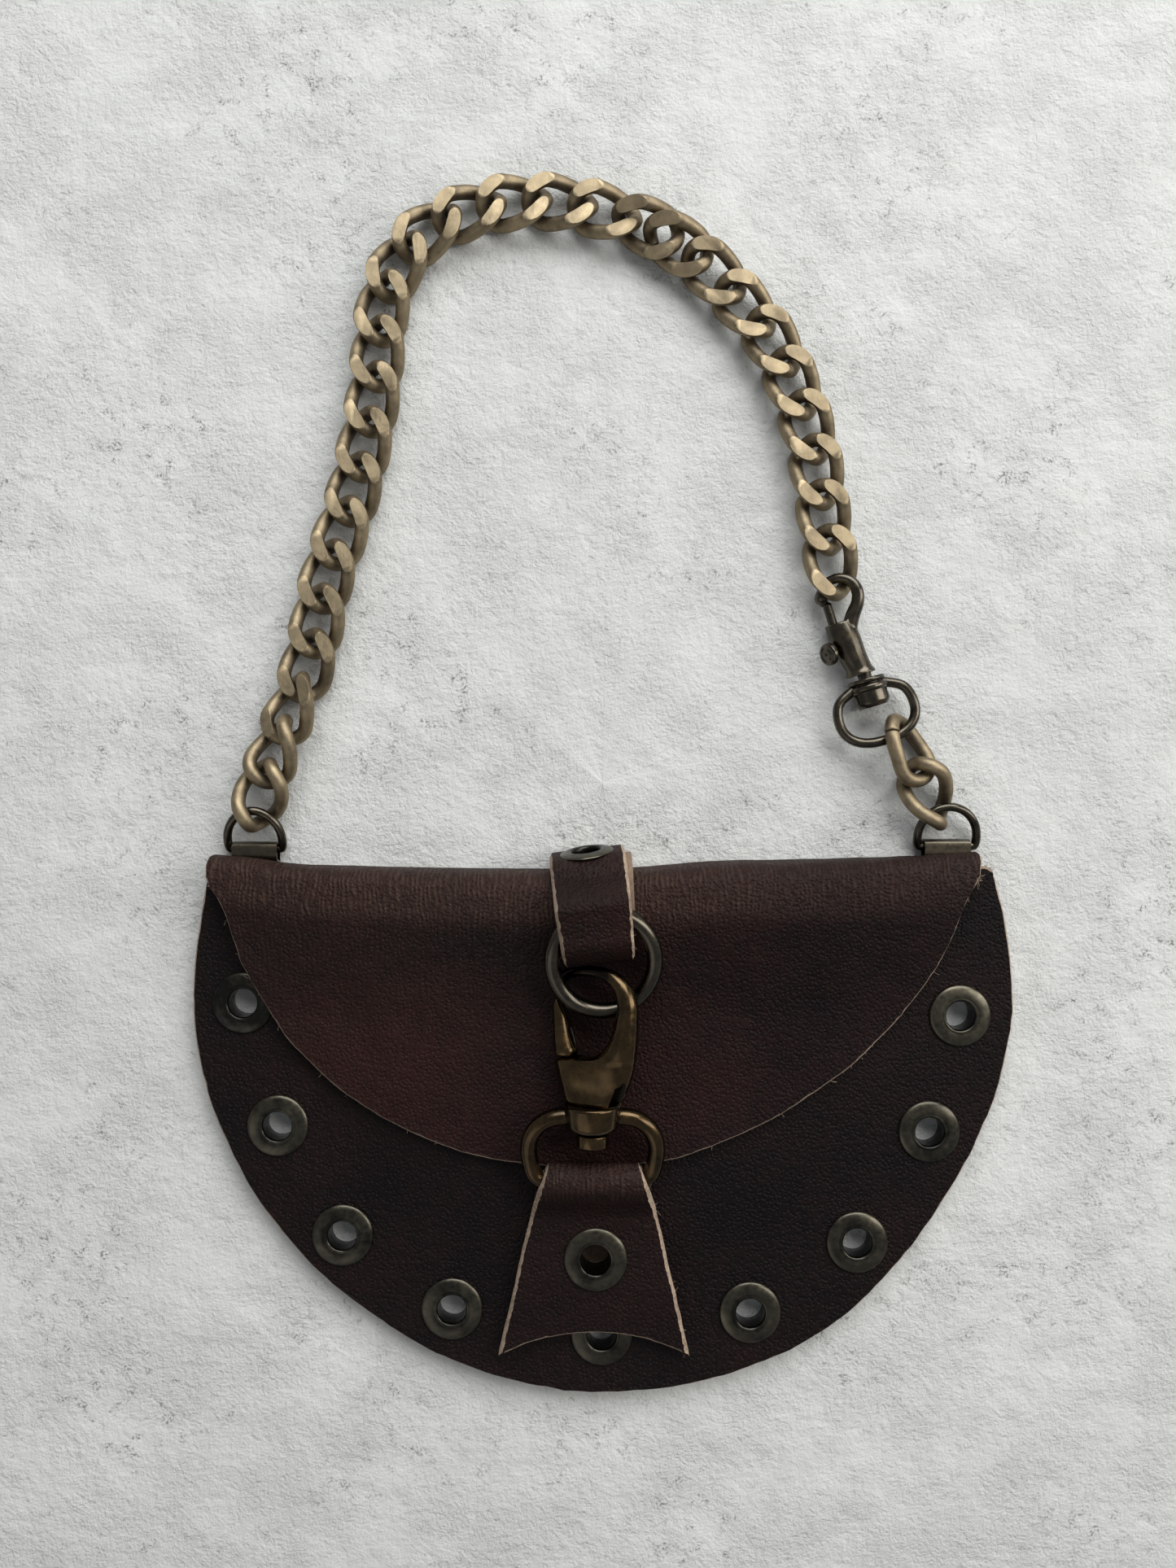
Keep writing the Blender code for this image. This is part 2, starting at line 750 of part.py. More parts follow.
def link_course(centre, heading, roll=0.0, tilt=0.0, twist=1.0):
    """Middle line of one twisted link, six points round each end."""
    bend = (LINK_WIDTH - LINK_WIRE) / 2
    straight = (LINK_LENGTH - LINK_WIRE) / 2 - bend * math.cos(math.radians(18))
    reach = straight + bend
    points = []
    for side in (1, -1):
        for k in range(6):
            angle = math.radians(-90 + 36 * k)
            x = side * (straight + bend * math.cos(angle))
            y = side * bend * math.sin(angle)
            turn = math.radians(roll - LINK_TWIST * twist * x / reach)
            points.append((x, y * math.cos(turn), y * math.sin(turn)))
    lay = (
        Matrix.Translation(Vector(centre))
        @ Matrix.Rotation(math.radians(heading), 4, "Z")
        @ Matrix.Rotation(-math.radians(tilt), 4, "Y")
    )
    return moved(points, lay)


def chain_line():
    """The chain's course as a fine line through its chosen points."""
    points = [Vector((x, y, 0.0)) for x, y in CHAIN_COURSE]
    points = [points[0] * 2 - points[1]] + points + [points[-1] * 2 - points[-2]]
    line = []
    for i in range(1, len(points) - 2):
        a, b, c, d = points[i - 1 : i + 3]
        for k in range(24):
            t = k / 24
            line.append(
                0.5
                * (2 * b + (c - a) * t + (2 * a - 5 * b + 4 * c - d) * t * t + (3 * b - a - 3 * c + d) * t ** 3)
            )
    line.append(points[-2])
    return line


def chain_places():
    """Centre, heading of every link: as many as the course takes when the links are just slack."""
    line = chain_line()
    steps = [0.0]
    for a, b in zip(line, line[1:]):
        steps.append(steps[-1] + (b - a).length)
    taut = LINK_LENGTH - 2 * LINK_WIRE
    count = round((steps[-1] + DRAWN_BY) / (taut - LINK_SLACK)) + 1
    pitch = (steps[-1] + DRAWN_BY) / (count - 1)
    xs = [p.x for p in line]
    ys = [p.y for p in line]

    def at(s):
        return Vector((float(np.interp(s, steps, xs)), float(np.interp(s, steps, ys)), 0.0))

    places = []
    for i in range(count):
        s = pitch * i - (DRAWN_BY if i + 1 >= DRAWN_LINK else 0.0)
        a = at(max(0.0, s - pitch / 2))
        b = at(min(steps[-1], s + pitch / 2))
        here = at(s)
        ahead = b - a
        places.append(((here.x, here.y), math.degrees(math.atan2(ahead.y, ahead.x))))
    return places


def d_ring_course(width):
    """Middle line of a D-ring in its own plane: bar on the x axis, arc towards +y."""
    half = (width - D_WIRE) / 2
    leg = 2.2
    points = [(-half + 0.6, 0.0, 0.0), (half - 0.6, 0.0, 0.0), (half, 0.8, 0.0)]
    for angle in (0, 30, 60, 90, 120, 150, 180):
        turn = math.radians(angle)
        points.append((half * math.cos(turn), leg + (D_HEIGHT - leg) * math.sin(turn), 0.0))
    points.append((-half, 0.8, 0.0))
    return points


def snap_frame():
    """Local x across, y along the snap's axis towards its hook, z up, at its collar."""
    return (
        Matrix.Translation(Vector((SNAP_X, SNAP_Y, SNAP_Z)))
        @ Matrix.Rotation(math.radians(SNAP_TURN), 4, "Z")
        @ Matrix.Rotation(-math.radians(SNAP_ROLL), 4, "Y")
    )


def clasp_frame():
    return Matrix.Translation(Vector((CLASP_X, 0.0, CLASP_Z))) @ Matrix.Rotation(
        -math.radians(CLASP_ROLL), 4, "Y"
    )


def build_pouch(group, tools, leather, brass):
    back = leather_sheet("back_panel_with_flap", back_rows(), LEATHER, leather, group)
    front = leather_sheet("front_panel", front_rows(), LEATHER, leather, group)
    parts = []
    for x, y in rim_eyelet_places():
        points, faces = hole_tool(EYELET_BARREL_RADIUS + GAP, RIM_HOLE_LENGTH)
        parts.append((moved(points, Matrix.Translation(Vector((x, y, RIM_HOLE_Z)))), faces))
    rim = tool("rim_holes", *joined(parts), leather, tools)
    combine(back, rim, "DIFFERENCE", "rim holes")
    combine(front, rim, "DIFFERENCE", "rim holes")
    place, outward = wall_frame()
    points, faces = hole_tool(EYELET_BARREL_RADIUS + GAP, WALL_HOLE_LENGTH)
    wall = tool("wall_hole", moved(points, pointing(outward, place)), faces, leather, tools)
    combine(back, wall, "DIFFERENCE", "strap eyelet")
    points, faces = hole_tool(EYELET_BARREL_RADIUS + GAP, TAB_HOLE_LENGTH)
    through = Matrix.Translation(Vector((TAB_EYELET_X, TAB_EYELET_Y, TAB_HOLE_Z)))
    under_tab = tool("tab_hole", moved(points, through), faces, leather, tools)
    combine(front, under_tab, "DIFFERENCE", "tab eyelet")
    for number, (x, y) in enumerate(rim_eyelet_places(), 1):
        grip = RIM_LIFT + 2 * LEATHER + 2 * GAP
        profile = eyelet_profile(0.0, RIM_LIFT - GAP, grip, EYELET_BACK_RADIUS)
        points, faces = spun(profile, EYELET_SIDES)
        points = moved(points, Matrix.Translation(Vector((x, y, 0.0))))
        add(f"rim_eyelet_{number}", to_mesh("rim_eyelet", points, faces), brass, group)
    return wall, under_tab


def build_strap(group, tools, leather, brass, wall):
    strap = leather_sheet("closure_strap", strap_rows(), STRAP_LEATHER, leather, group)
    combine(strap, wall, "DIFFERENCE", "eyelet hole")
    place, outward = wall_frame()
    sink = (STRAP_WIDTH / 2) * math.sin(math.radians(STRAP_TILT))
    inside = -LEATHER - STRAP_EYELET_LOOSE
    over = sink + 3 * GAP + 0.1 + 2 * STRAP_LEATHER + 0.4
    profile = [
        (EYELET_HOLE_RADIUS, inside - STRAP_EYELET_FLANGE),
        (STRAP_EYELET_BACK_RADIUS, inside - STRAP_EYELET_FLANGE),
        (STRAP_EYELET_BACK_RADIUS, inside),
        (EYELET_BARREL_RADIUS, inside),
        (EYELET_BARREL_RADIUS, over),
        (STRAP_FACE_RADIUS, over),
        (STRAP_FACE_RADIUS - 0.3, over + STRAP_EYELET_FLANGE),
        (EYELET_HOLE_RADIUS, over + STRAP_EYELET_FLANGE),
    ]
    points, faces = spun(profile, EYELET_SIDES)
    points = moved(points, pointing(outward, place))
    add("strap_eyelet", to_mesh("strap_eyelet", points, faces), brass, group)


def build_tab(group, tools, leather, brass, hole):
    tab = leather_sheet("tab", tab_rows(), STRAP_LEATHER, leather, group)
    combine(tab, hole, "DIFFERENCE", "eyelet hole")
    panel, lower, upper = tab_layers()
    over = upper + STRAP_LEATHER + GAP
    profile = eyelet_profile(panel - GAP - TAB_EYELET_FLANGE, panel - GAP, over, TAB_EYELET_BACK_RADIUS)
    points, faces = spun(profile, EYELET_SIDES)
    points = moved(points, Matrix.Translation(Vector((TAB_EYELET_X, TAB_EYELET_Y, 0.0))))
    add("tab_eyelet", to_mesh("tab_eyelet", points, faces), brass, group)


def build_ring(group, brass):
    points = []
    for k in range(18):
        turn = 2 * math.pi * k / 18
        x = RING_RADIUS * math.cos(turn)
        y = RING_Y + RING_RADIUS * math.sin(turn)
        points.append((x, y, ring_height(x, y)))
    wire("o_ring", points, RING_WIRE / 2, True, brass, group)


def build_clasp(group, tools, brass):
    lay = clasp_frame()
    rows = [(y, left, right, half, 0.0) for y, left, right, half in BODY_ROWS]
    points, faces = loft(rows)
    hook = add("clasp_hook", to_mesh("clasp_hook", moved(points, lay), faces), brass, group)
    course = moved([(x, y, 0.0) for x, y, _ in HOOK_COURSE], lay)
    arm = wire("hook_arm", course, [r for _, _, r in HOOK_COURSE], False, brass, tools)
    arm = as_mesh(arm, tools)
    arm.hide_render = True
    combine(hook, arm, "UNION", "arm")
    pin_rows = (
        (CLASP_PIN_RADIUS, CLASP_BODY_Y[0] + 1.5),
        (CLASP_PIN_RADIUS, CLASP_BUTTON_Y[1]),
        (CLASP_BUTTON_RADIUS, CLASP_BUTTON_Y[1]),
        (CLASP_BUTTON_RADIUS, CLASP_BUTTON_Y[0]),
    )
    points, faces = solid_rod([(r, -y) for r, y in pin_rows], 12)
    turn = lay @ Matrix.Rotation(math.radians(90), 4, "X")
    pin = tool("clasp_pin", moved(points, turn), faces, brass, tools)
    combine(hook, pin, "UNION", "swivel pin")
    gate = moved([(x, y, 0.0) for x, y, _ in GATE_COURSE], lay)
    wire("clasp_gate", gate, [r for _, _, r in GATE_COURSE], False, brass, group)

    collar = (
        (CLASP_PIN_RADIUS + PIN_GAP, -COLLAR_Y[0]),
        (COLLAR_RADIUS - 0.4, -COLLAR_Y[0]),
        (COLLAR_RADIUS, -COLLAR_Y[0] - 0.6),
        (COLLAR_RADIUS, -COLLAR_Y[1] + 0.6),
        (COLLAR_RADIUS - 0.4, -COLLAR_Y[1]),
        (CLASP_PIN_RADIUS + PIN_GAP, -COLLAR_Y[1]),
    )
    points, faces = spun(collar, 14)
    level = Matrix.Translation(Vector((CLASP_X, 0.0, CLASP_Z))) @ Matrix.Rotation(math.radians(90), 4, "X")
    eye = add("clasp_eye", to_mesh("clasp_eye", moved(points, level), faces), brass, group)
    middle = (COLLAR_Y[0] + COLLAR_Y[1]) / 2
    bend = (middle - EYE_BAR_Y) / 2
    course = [(-CLASP_PIN_RADIUS - 2.0, middle), (-EYE_HALF_WIDTH + bend, middle)]
    for k in range(1, 5):
        turn = math.radians(90 + 22.5 * k)
        course.append((-EYE_HALF_WIDTH + bend - bend * math.cos(math.pi - turn), middle - bend + bend * math.sin(turn)))
    course += [
        (-EYE_HALF_WIDTH + 0.3, EYE_BAR_Y + 4.4),
        (-EYE_HALF_WIDTH + 1.1, EYE_BAR_Y + 1.6),
        (-EYE_HALF_WIDTH + 2.6, EYE_BAR_Y),
    ]
    course = course + [(-x, y) for x, y in course[::-1]]
    drop = (CLASP_Z - EYE_BAR_Z) / (middle - EYE_BAR_Y)
    loop = [(CLASP_X + x, y, CLASP_Z - drop * (middle - y)) for x, y in course]
    loop = wire("eye_loop", loop, EYE_WIRE / 2, False, brass, tools)
    loop = as_mesh(loop, tools)
    loop.hide_render = True
    combine(eye, loop, "UNION", "loop")


def build_d_rings(group, brass):
    for name, x, y, width, clip, tilt in D_RINGS:
        lay = Matrix.Translation(Vector((x, y, D_BAR_Z))) @ Matrix.Rotation(math.radians(tilt), 4, "X")
        wire(f"d_ring_{name}", moved(d_ring_course(width), lay), D_WIRE / 2, True, brass, group)
        bend = D_WIRE / 2 + GAP + CLIP_SHEET / 2
        course = [(y - CLIP_TAIL, CLIP_SHEET / 2), (y - 1.0, CLIP_SHEET / 2)]
        for turn in (-60, -15, 30, 75, 120, 160):
            angle = math.radians(turn)
            course.append((y + bend * math.cos(angle), D_BAR_Z + bend * math.sin(angle)))
        course += [(y - 2.1, 0.95), (y - 3.0, 0.75), (y - CLIP_TAIL, 0.75)]
        rows = [[(x + clip * s, q, z) for s in (-0.5, 0.5)] for q, z in course]
        leather_sheet(f"d_ring_clip_{name}", rows, CLIP_SHEET, brass, group)


def build_chain(group, bronze):
    odd = {row[0]: row[1:] for row in ODD_LINKS}
    for number, ((x, y), heading) in enumerate(chain_places(), 1):
        roll, tilt, lift, twist = odd.get(number, (0.0, 0.0, 0.0, 1.0))
        course = link_course((x, y, LINK_Z + lift), heading, roll, tilt, twist)
        wire(f"link_{number:02d}", course, LINK_WIRE / 2, True, bronze, group)
    for name, x, y, z, heading, roll, tilt, twist in SHORT_LINKS:
        course = link_course((x, y, z), heading, roll, tilt, twist)
        wire(f"short_link_{name}", course, LINK_WIRE / 2, True, bronze, group)


def build_snap(group, tools, dark):
    lay = snap_frame()
    rows = [(y, left, right, half, 0.0) for y, left, right, half in SNAP_BODY_ROWS]
    points, faces = loft(rows, 0.5)
    body = add("snap_hook", to_mesh("snap_hook", moved(points, lay), faces), dark, group)
    course = moved([(x, y, 0.0) for x, y, _ in SNAP_HOOK_COURSE], lay)
    arm = wire("snap_arm", course, [r for _, _, r in SNAP_HOOK_COURSE], False, dark, tools)
    arm = as_mesh(arm, tools)
    arm.hide_render = True
    combine(body, arm, "UNION", "hook")
    quarter = Matrix.Rotation(math.radians(-90), 4, "X")
    pin = solid_rod(
        (
            (SNAP_HEAD_RADIUS, SNAP_HEAD[0]),
            (SNAP_HEAD_RADIUS, SNAP_HEAD[1]),
            (SNAP_PIN_RADIUS, SNAP_HEAD[1]),
            (SNAP_PIN_RADIUS, SNAP_PIN_END),
        ),
        12,
    )
    pin_tool = tool("snap_pin", moved(pin[0], lay @ quarter), pin[1], dark, tools)
    combine(body, pin_tool, "UNION", "swivel pin")
    at_bolt = Matrix.Translation(Vector((BOLT_ACROSS, 0.0, 0.0)))
    bore = solid_rod(
        (
            (BOLT_RADIUS + PIN_GAP, BOLT_ALONG[0] - BOLT_TRAVEL - PIN_GAP - 0.2),
            (BOLT_RADIUS + PIN_GAP, BOLT_BORE_END),
        ),
        10,
    )
    bore_tool = tool("bolt_bore", moved(bore[0], lay @ at_bolt @ quarter), bore[1], dark, tools)
    combine(body, bore_tool, "DIFFERENCE", "bolt bore")
    outward = Matrix.Rotation(math.radians(KNOB_LIFT), 4, "Y") @ Matrix.Rotation(math.radians(-90), 4, "Y")
    low = KNOB_ALONG - BOLT_TRAVEL - STEM_RADIUS - PIN_GAP - 0.1
    high = KNOB_ALONG + STEM_RADIUS + PIN_GAP + 0.1
    wide = STEM_RADIUS + PIN_GAP + 0.1
    slot = []
    for out in (0.0, 6.5):
        for along, side in ((low, -wide), (high, -wide), (high, wide), (low, wide)):
            slot.append((side, along, out))
    slot_faces = [(0, 1, 2, 3), (7, 6, 5, 4), (0, 4, 5, 1), (1, 5, 6, 2), (2, 6, 7, 3), (3, 7, 4, 0)]
    slot_tool = tool("bolt_slot", moved(slot, lay @ at_bolt @ outward), slot_faces, dark, tools)
    combine(body, slot_tool, "DIFFERENCE", "knob slot")

    rod = solid_rod(((BOLT_RADIUS, BOLT_ALONG[0]), (BOLT_RADIUS, BOLT_ALONG[1])), 8)
    bolt = add("snap_bolt", to_mesh("snap_bolt", moved(rod[0], lay @ at_bolt @ quarter), rod[1]), dark, group)
    knob = solid_rod(
        ((STEM_RADIUS, 0.0), (STEM_RADIUS, KNOB_OUT[0]), (KNOB_RADIUS, KNOB_OUT[0]), (KNOB_RADIUS, KNOB_OUT[1])),
        10,
    )
    up = Matrix.Translation(Vector((BOLT_ACROSS, KNOB_ALONG, 0.0))) @ outward
    knob_tool = tool("bolt_knob", moved(knob[0], lay @ up), knob[1], dark, tools)
    combine(bolt, knob_tool, "UNION", "knob")

    level = (
        Matrix.Translation(Vector((SNAP_X, SNAP_Y, SNAP_Z)))
        @ Matrix.Rotation(math.radians(SNAP_TURN), 4, "Z")
    )
    boss = (
        (SNAP_PIN_RADIUS + PIN_GAP, SNAP_BOSS[0]),
        (SNAP_BOSS_RADIUS, SNAP_BOSS[0]),
        (SNAP_BOSS_RADIUS, SNAP_BOSS[1]),
        (SNAP_PIN_RADIUS + PIN_GAP, SNAP_BOSS[1]),
    )
    points, faces = spun(boss, 12)
    eye = add("snap_eye", to_mesh("snap_eye", moved(points, level @ quarter), faces), dark, group)
    top = (SNAP_BOSS[0] + SNAP_BOSS[1]) / 2
    middle = (top + SNAP_EYE_REACH) / 2
    tall = (top - SNAP_EYE_REACH) / 2
    course = [(-SNAP_PIN_RADIUS - 1.3, top - 0.05)]
    for k in range(1, 13):
        turn = math.radians(115 + 310 * k / 13)
        across = math.copysign(abs(math.cos(turn)) ** 0.85, math.cos(turn))
        along = math.copysign(abs(math.sin(turn)) ** 0.85, math.sin(turn))
        course.append((SNAP_EYE_HALF_WIDTH * across, middle + tall * along))
    course.append((SNAP_PIN_RADIUS + 1.3, top - 0.05))
    rise = [(x, y, 0.2 + SNAP_EYE_RISE * (top - y)) for x, y in course]
    loop = wire("snap_loop", moved(rise, level), SNAP_EYE_WIRE / 2, False, dark, tools)
    loop = as_mesh(loop, tools)
    loop.hide_render = True
    combine(eye, loop, "UNION", "loop")


def build():
    clear_scene()
    group = bpy.data.collections.new("wristlet")
    tools = bpy.data.collections.new("wristlet_tools")
    bpy.context.scene.collection.children.link(group)
    bpy.context.scene.collection.children.link(tools)
    leather = make_material("leather", (0.055, 0.028, 0.022), 0.0, 0.55)
    brass = make_material("antique_brass", (0.16, 0.12, 0.06), 1.0, 0.35)
    bronze = make_material("brushed_bronze", (0.42, 0.31, 0.17), 1.0, 0.4)
    dark = make_material("dark_brass", (0.08, 0.065, 0.04), 1.0, 0.4)
    wall, hole = build_pouch(group, tools, leather, brass)
    build_strap(group, tools, leather, brass, wall)
    build_tab(group, tools, leather, brass, hole)
    build_ring(group, brass)
    build_clasp(group, tools, brass)
    build_d_rings(group, dark)
    build_chain(group, bronze)
    build_snap(group, tools, dark)


build()
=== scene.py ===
"""Looks of the wristlet: leather sheets, eyelets, clasp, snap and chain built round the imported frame.

Lengths are in millimetres here and become metres when a mesh is made.
"""

from math import atan2, copysign, cos, degrees, exp, hypot, pi, radians, sin, sqrt

import bmesh
import bpy
import numpy as np
from mathutils import Matrix, Vector, noise


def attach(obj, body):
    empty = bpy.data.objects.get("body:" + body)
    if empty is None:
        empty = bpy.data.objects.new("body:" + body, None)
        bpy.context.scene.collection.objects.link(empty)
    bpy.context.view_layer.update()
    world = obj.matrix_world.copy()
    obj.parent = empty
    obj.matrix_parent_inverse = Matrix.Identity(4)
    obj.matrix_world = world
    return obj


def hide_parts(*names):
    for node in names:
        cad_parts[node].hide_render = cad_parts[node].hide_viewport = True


MM = 0.001
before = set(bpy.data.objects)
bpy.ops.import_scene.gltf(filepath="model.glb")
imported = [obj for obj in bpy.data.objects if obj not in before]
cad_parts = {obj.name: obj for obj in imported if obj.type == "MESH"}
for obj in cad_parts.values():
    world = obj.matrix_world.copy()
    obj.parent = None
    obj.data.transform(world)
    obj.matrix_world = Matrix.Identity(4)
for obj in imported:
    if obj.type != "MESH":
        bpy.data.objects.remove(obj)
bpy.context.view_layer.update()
ROOT = "pouch_and_chain"

# Camera: straight above the middle of the picture
CAMERA_PLACE = (-3.42, -0.38, 275.0)
CAMERA_LENS = 27.04
CAMERA_SENSOR = 36.0
CAMERA_CLIP_START = 0.01

# Light and floor, in metres and watts: name, place, target, size, power, colour
SKY_COLOUR = (0.86, 0.90, 0.96, 1.0)
SKY_STRENGTH = 0.27
LIGHTS = (
    ("window", (0.18, 0.90, 0.78), (0, 0.05, 0), (1.2, 0.8), 17.0, (0.96, 0.98, 1.0)),
    ("right_wall", (0.95, 0.20, 0.70), (0, 0, 0), (0.45, 1.0), 7.5, (1.0, 0.98, 0.95)),
    ("room_fill", (-0.7, -0.9, 0.9), (0, 0, 0), (1.2, 0.9), 1.8, (1.0, 0.97, 0.93)),
)
FLOOR_HALF = 2.0

# Sizes of the solids
GAP = 0.3
POUCH_HALF_WIDTH = 94.4
POUCH_WIDEST_Y = -52.4
POUCH_DEPTH = 88.1
FOLD_Y = -19.5
FOLD_NARROWING = 0.055
FOLD_SHIFT = -1.2
FOLD_CORNER_Y = -17.0
LEATHER = 1.6
ROLL_HEIGHT = 14.4
ROLL_CORNER_HEIGHT = 9.6
ROLL_DEPTH = 7.2
ROLL_LEAN = 0.12
ROLL_SQUARENESS = 3.4
RIM_LIFT = 1.2
RIM_BAND = 22.5
FRONT_MOUTH_Y = -30.0
FRONT_SWELL = 3.6
FRONT_SWELL_REACH = 25.0
FRONT_SWELL_BASE = 0.8
FLAP_HALF_WIDTH = 88.6
FLAP_SETTLE = 30.0
EYELET_RADIUS = 7.0
EYELET_BACK_RADIUS = 6.1
EYELET_HOLE_RADIUS = 3.25
EYELET_FLANGE = 0.9
# Angle round the rim, share of the way out to it, tone of the metal
RIM_EYELETS = (
    (-1.4, 0.874, -0.20), (20.7, 0.844, -0.02), (42.7, 0.860, -0.06), (64.7, 0.857, -0.03),
    (89.8, 0.842, -0.04), (114.5, 0.862, 0.02), (135.7, 0.862, 0.0), (158.4, 0.852, -0.02),
    (179.2, 0.867, 0.10),
)
STRAP_WIDTH = 17.2
STRAP_END_WIDTH = 15.8
STRAP_LEATHER = 1.4
STRAP_TILT = 7.0
STRAP_LOOP_X = -0.7
STRAP_LOOP_Y = -39.8
STRAP_FACE_RADIUS = 6.2
RING_RADIUS = 11.6
RING_WIRE = 3.3
RING_Y = -39.2
RING_Z = 17.1
RING_SLOPE = 0.23
RING_CANT = -0.08
CLASP_X = -2.4
CLASP_Z = 15.6
CLASP_ROLL = 26.0
COLLAR_RADIUS = 6.3
CLASP_PIN_RADIUS = 2.3
CLASP_BUTTON_RADIUS = 3.6
EYE_HALF_WIDTH = 14.2
EYE_WIRE = 3.8
EYE_BAR_Y = -88.7
EYE_BAR_Z = 12.2
TAB_FOLD_HALF_WIDTH = 10.4
TAB_END_HALF_WIDTH = 21.6
TAB_X = -2.1
TAB_END_Y = -130.0
TAB_HOLLOW = 5.0
TAB_BACK_END_Y = -118.0
TAB_EYELET_X = -1.7
TAB_EYELET_Y = -107.7
D_WIRE = 2.0
D_HEIGHT = 9.6
D_BAR_Z = 1.75
CLIP_SHEET = 0.4
CLIP_TAIL = 9.0
# Side, x and y of the ring's bar, ring's width, clip's width, tilt
D_RINGS = (
    ("left", -80.4, -15.4, 14.6, 10.4, 22.7),
    ("right", 79.6, -14.8, 15.6, 10.6, 17.7),
)
LINK_LENGTH = 17.6
LINK_WIDTH = 12.6
LINK_WIRE = 3.25
LINK_TWIST = 50.0
LINK_Z = 3.85
LINK_SLACK = 0.45
DRAWN_LINK = 20
DRAWN_BY = 2.6
CHAIN_COURSE = (
    (-78.3, -2.9), (-75.0, 7.6), (-68.0, 26.6), (-63.4, 47.3), (-57.1, 67.8), (-52.9, 88.8),
    (-50.6, 109.7), (-46.8, 119.6), (-39.8, 127.3), (-30.0, 131.6), (-19.7, 133.5), (-9.0, 133.2),
    (1.4, 130.9), (10.9, 127.0), (17.9, 123.0), (25.3, 117.2), (38.9, 101.5), (47.1, 81.7),
    (51.0, 60.5), (52.4, 50.5),
)
# Links that lie apart from the rest: number, roll, tilt, lift, share of the twist
ODD_LINKS = (
    (1, 8.2, 2.3, 1.33, 1.47),
    (2, -24.1, -0.8, 1.45, 1.22),
    (3, -24.4, 2.3, 0.92, 0.96),
    (18, 2.5, 0.0, 0.15, 1.0),
    (19, 28.5, -1.2, 1.15, 1.03),
    (20, 25.5, -3.0, 0.9, 1.05),
    (21, 9.5, -1.8, 0.35, 1.0),
    (27, 0.0, 0.0, 0.1, 1.0),
    (28, -1.5, 1.7, 0.45, 1.0),
)
# Letter, x, y, z, heading, roll, tilt, share of the twist
SHORT_LINKS = (
    ("a", 69.87, 7.46, 5.13, -64.4, -41.1, 0.6, -0.35),
    ("b", 74.59, -2.6, 4.99, -68.3, -8.7, -1.1, 1.39),
)
SNAP_X = 61.3
SNAP_Y = 20.6
SNAP_Z = 4.4
SNAP_TURN = 17.0
SNAP_ROLL = 20.0
SNAP_PIN_RADIUS = 1.6
SNAP_BOSS_RADIUS = 4.2
SNAP_BOSS = (0.6, 3.2)
SNAP_HEAD = (-2.7, -0.4)
SNAP_EYE_WIRE = 2.3
SNAP_EYE_HALF_WIDTH = 8.9
SNAP_EYE_REACH = -11.4
SNAP_EYE_RISE = 0.06
BOLT_RADIUS = 1.1
BOLT_ACROSS = -3.4
BOLT_ALONG = (10.0, 22.4)
KNOB_ALONG = 11.1
KNOB_RADIUS = 2.6
KNOB_LIFT = 50.0
KNOB_OUT = (3.3, 4.7)
STEM_RADIUS = 0.65

# Sizes of finer detail
# Flap's cut edge from its left corner at the roll round its tip to the right corner
FLAP_EDGE = (
    (-87.2, -22.5), (-85.9, -28.8), (-83.6, -35.7), (-82.1, -40.3), (-80.1, -44.4), (-77.2, -49.5),
    (-74.3, -54.3), (-71.2, -58.9), (-67.3, -63.0), (-63.2, -66.9), (-58.1, -71.1), (-51.8, -75.2),
    (-45.0, -78.8), (-37.3, -82.1), (-29.5, -84.6), (-20.1, -86.3), (-3.5, -87.6), (14.0, -86.0),
    (21.9, -83.8), (35.4, -78.1), (42.6, -74.1), (49.8, -69.4), (57.7, -63.2), (64.9, -56.2),
    (68.1, -52.6), (72.1, -47.2), (75.8, -41.4), (78.9, -35.0), (81.5, -28.0), (83.2, -22.5),
)
ROLL_RIGHT_INSET = 2.2
FOLD_RIGHT_RISE = 1.8
FOLD_LEFT_RISE = 1.0
LEFT_TRIM = 2.6
RIGHT_TRIM = 3.8
RIGHT_TRIM_FADE = (0.25, 0.50)
LEFT_TRIM_FADE = (0.55, 0.30)
LEFT_TRIM_KEPT = 0.6
RIGHT_SHOULDER = 1.6
BACK_COLUMNS, FRONT_COLUMNS, STRAP_COLUMNS, TAB_COLUMNS = 190, 170, 25, 45
PANEL_ROWS, ROLL_ROWS, FLAP_ROWS, STRAP_ROWS, TAB_ROWS = 84, 27, 60, 130, 120
# How far the grain side stops short of the cut, how much the cut wavers, and its loose fibres
PANEL_CHAMFER, STRAP_CHAMFER, TAB_CHAMFER = 0.6, 0.7, 0.72
PANEL_WOBBLE, STRAP_WOBBLE, TAB_WOBBLE = 0.14, 0.09, 0.14
BACK_FIBRES, FRONT_FIBRES, STRAP_FIBRES, TAB_FIBRES = 260, 200, 40, 90
PANEL_HOLE_REACH = 2.0
STRAP_TAPER = 22.0
# Tones run from black at 0 through brown to red at 1
UNDERSIDE_TONE, FLAP_TONE, FRONT_TONE, STRAP_TONE, TAB_TONE = 0.28, 0.62, 0.12, 0.50, 0.36
FLAP_LEFT_TONE = 0.25
FLAP_RIGHT_TONE = -0.32
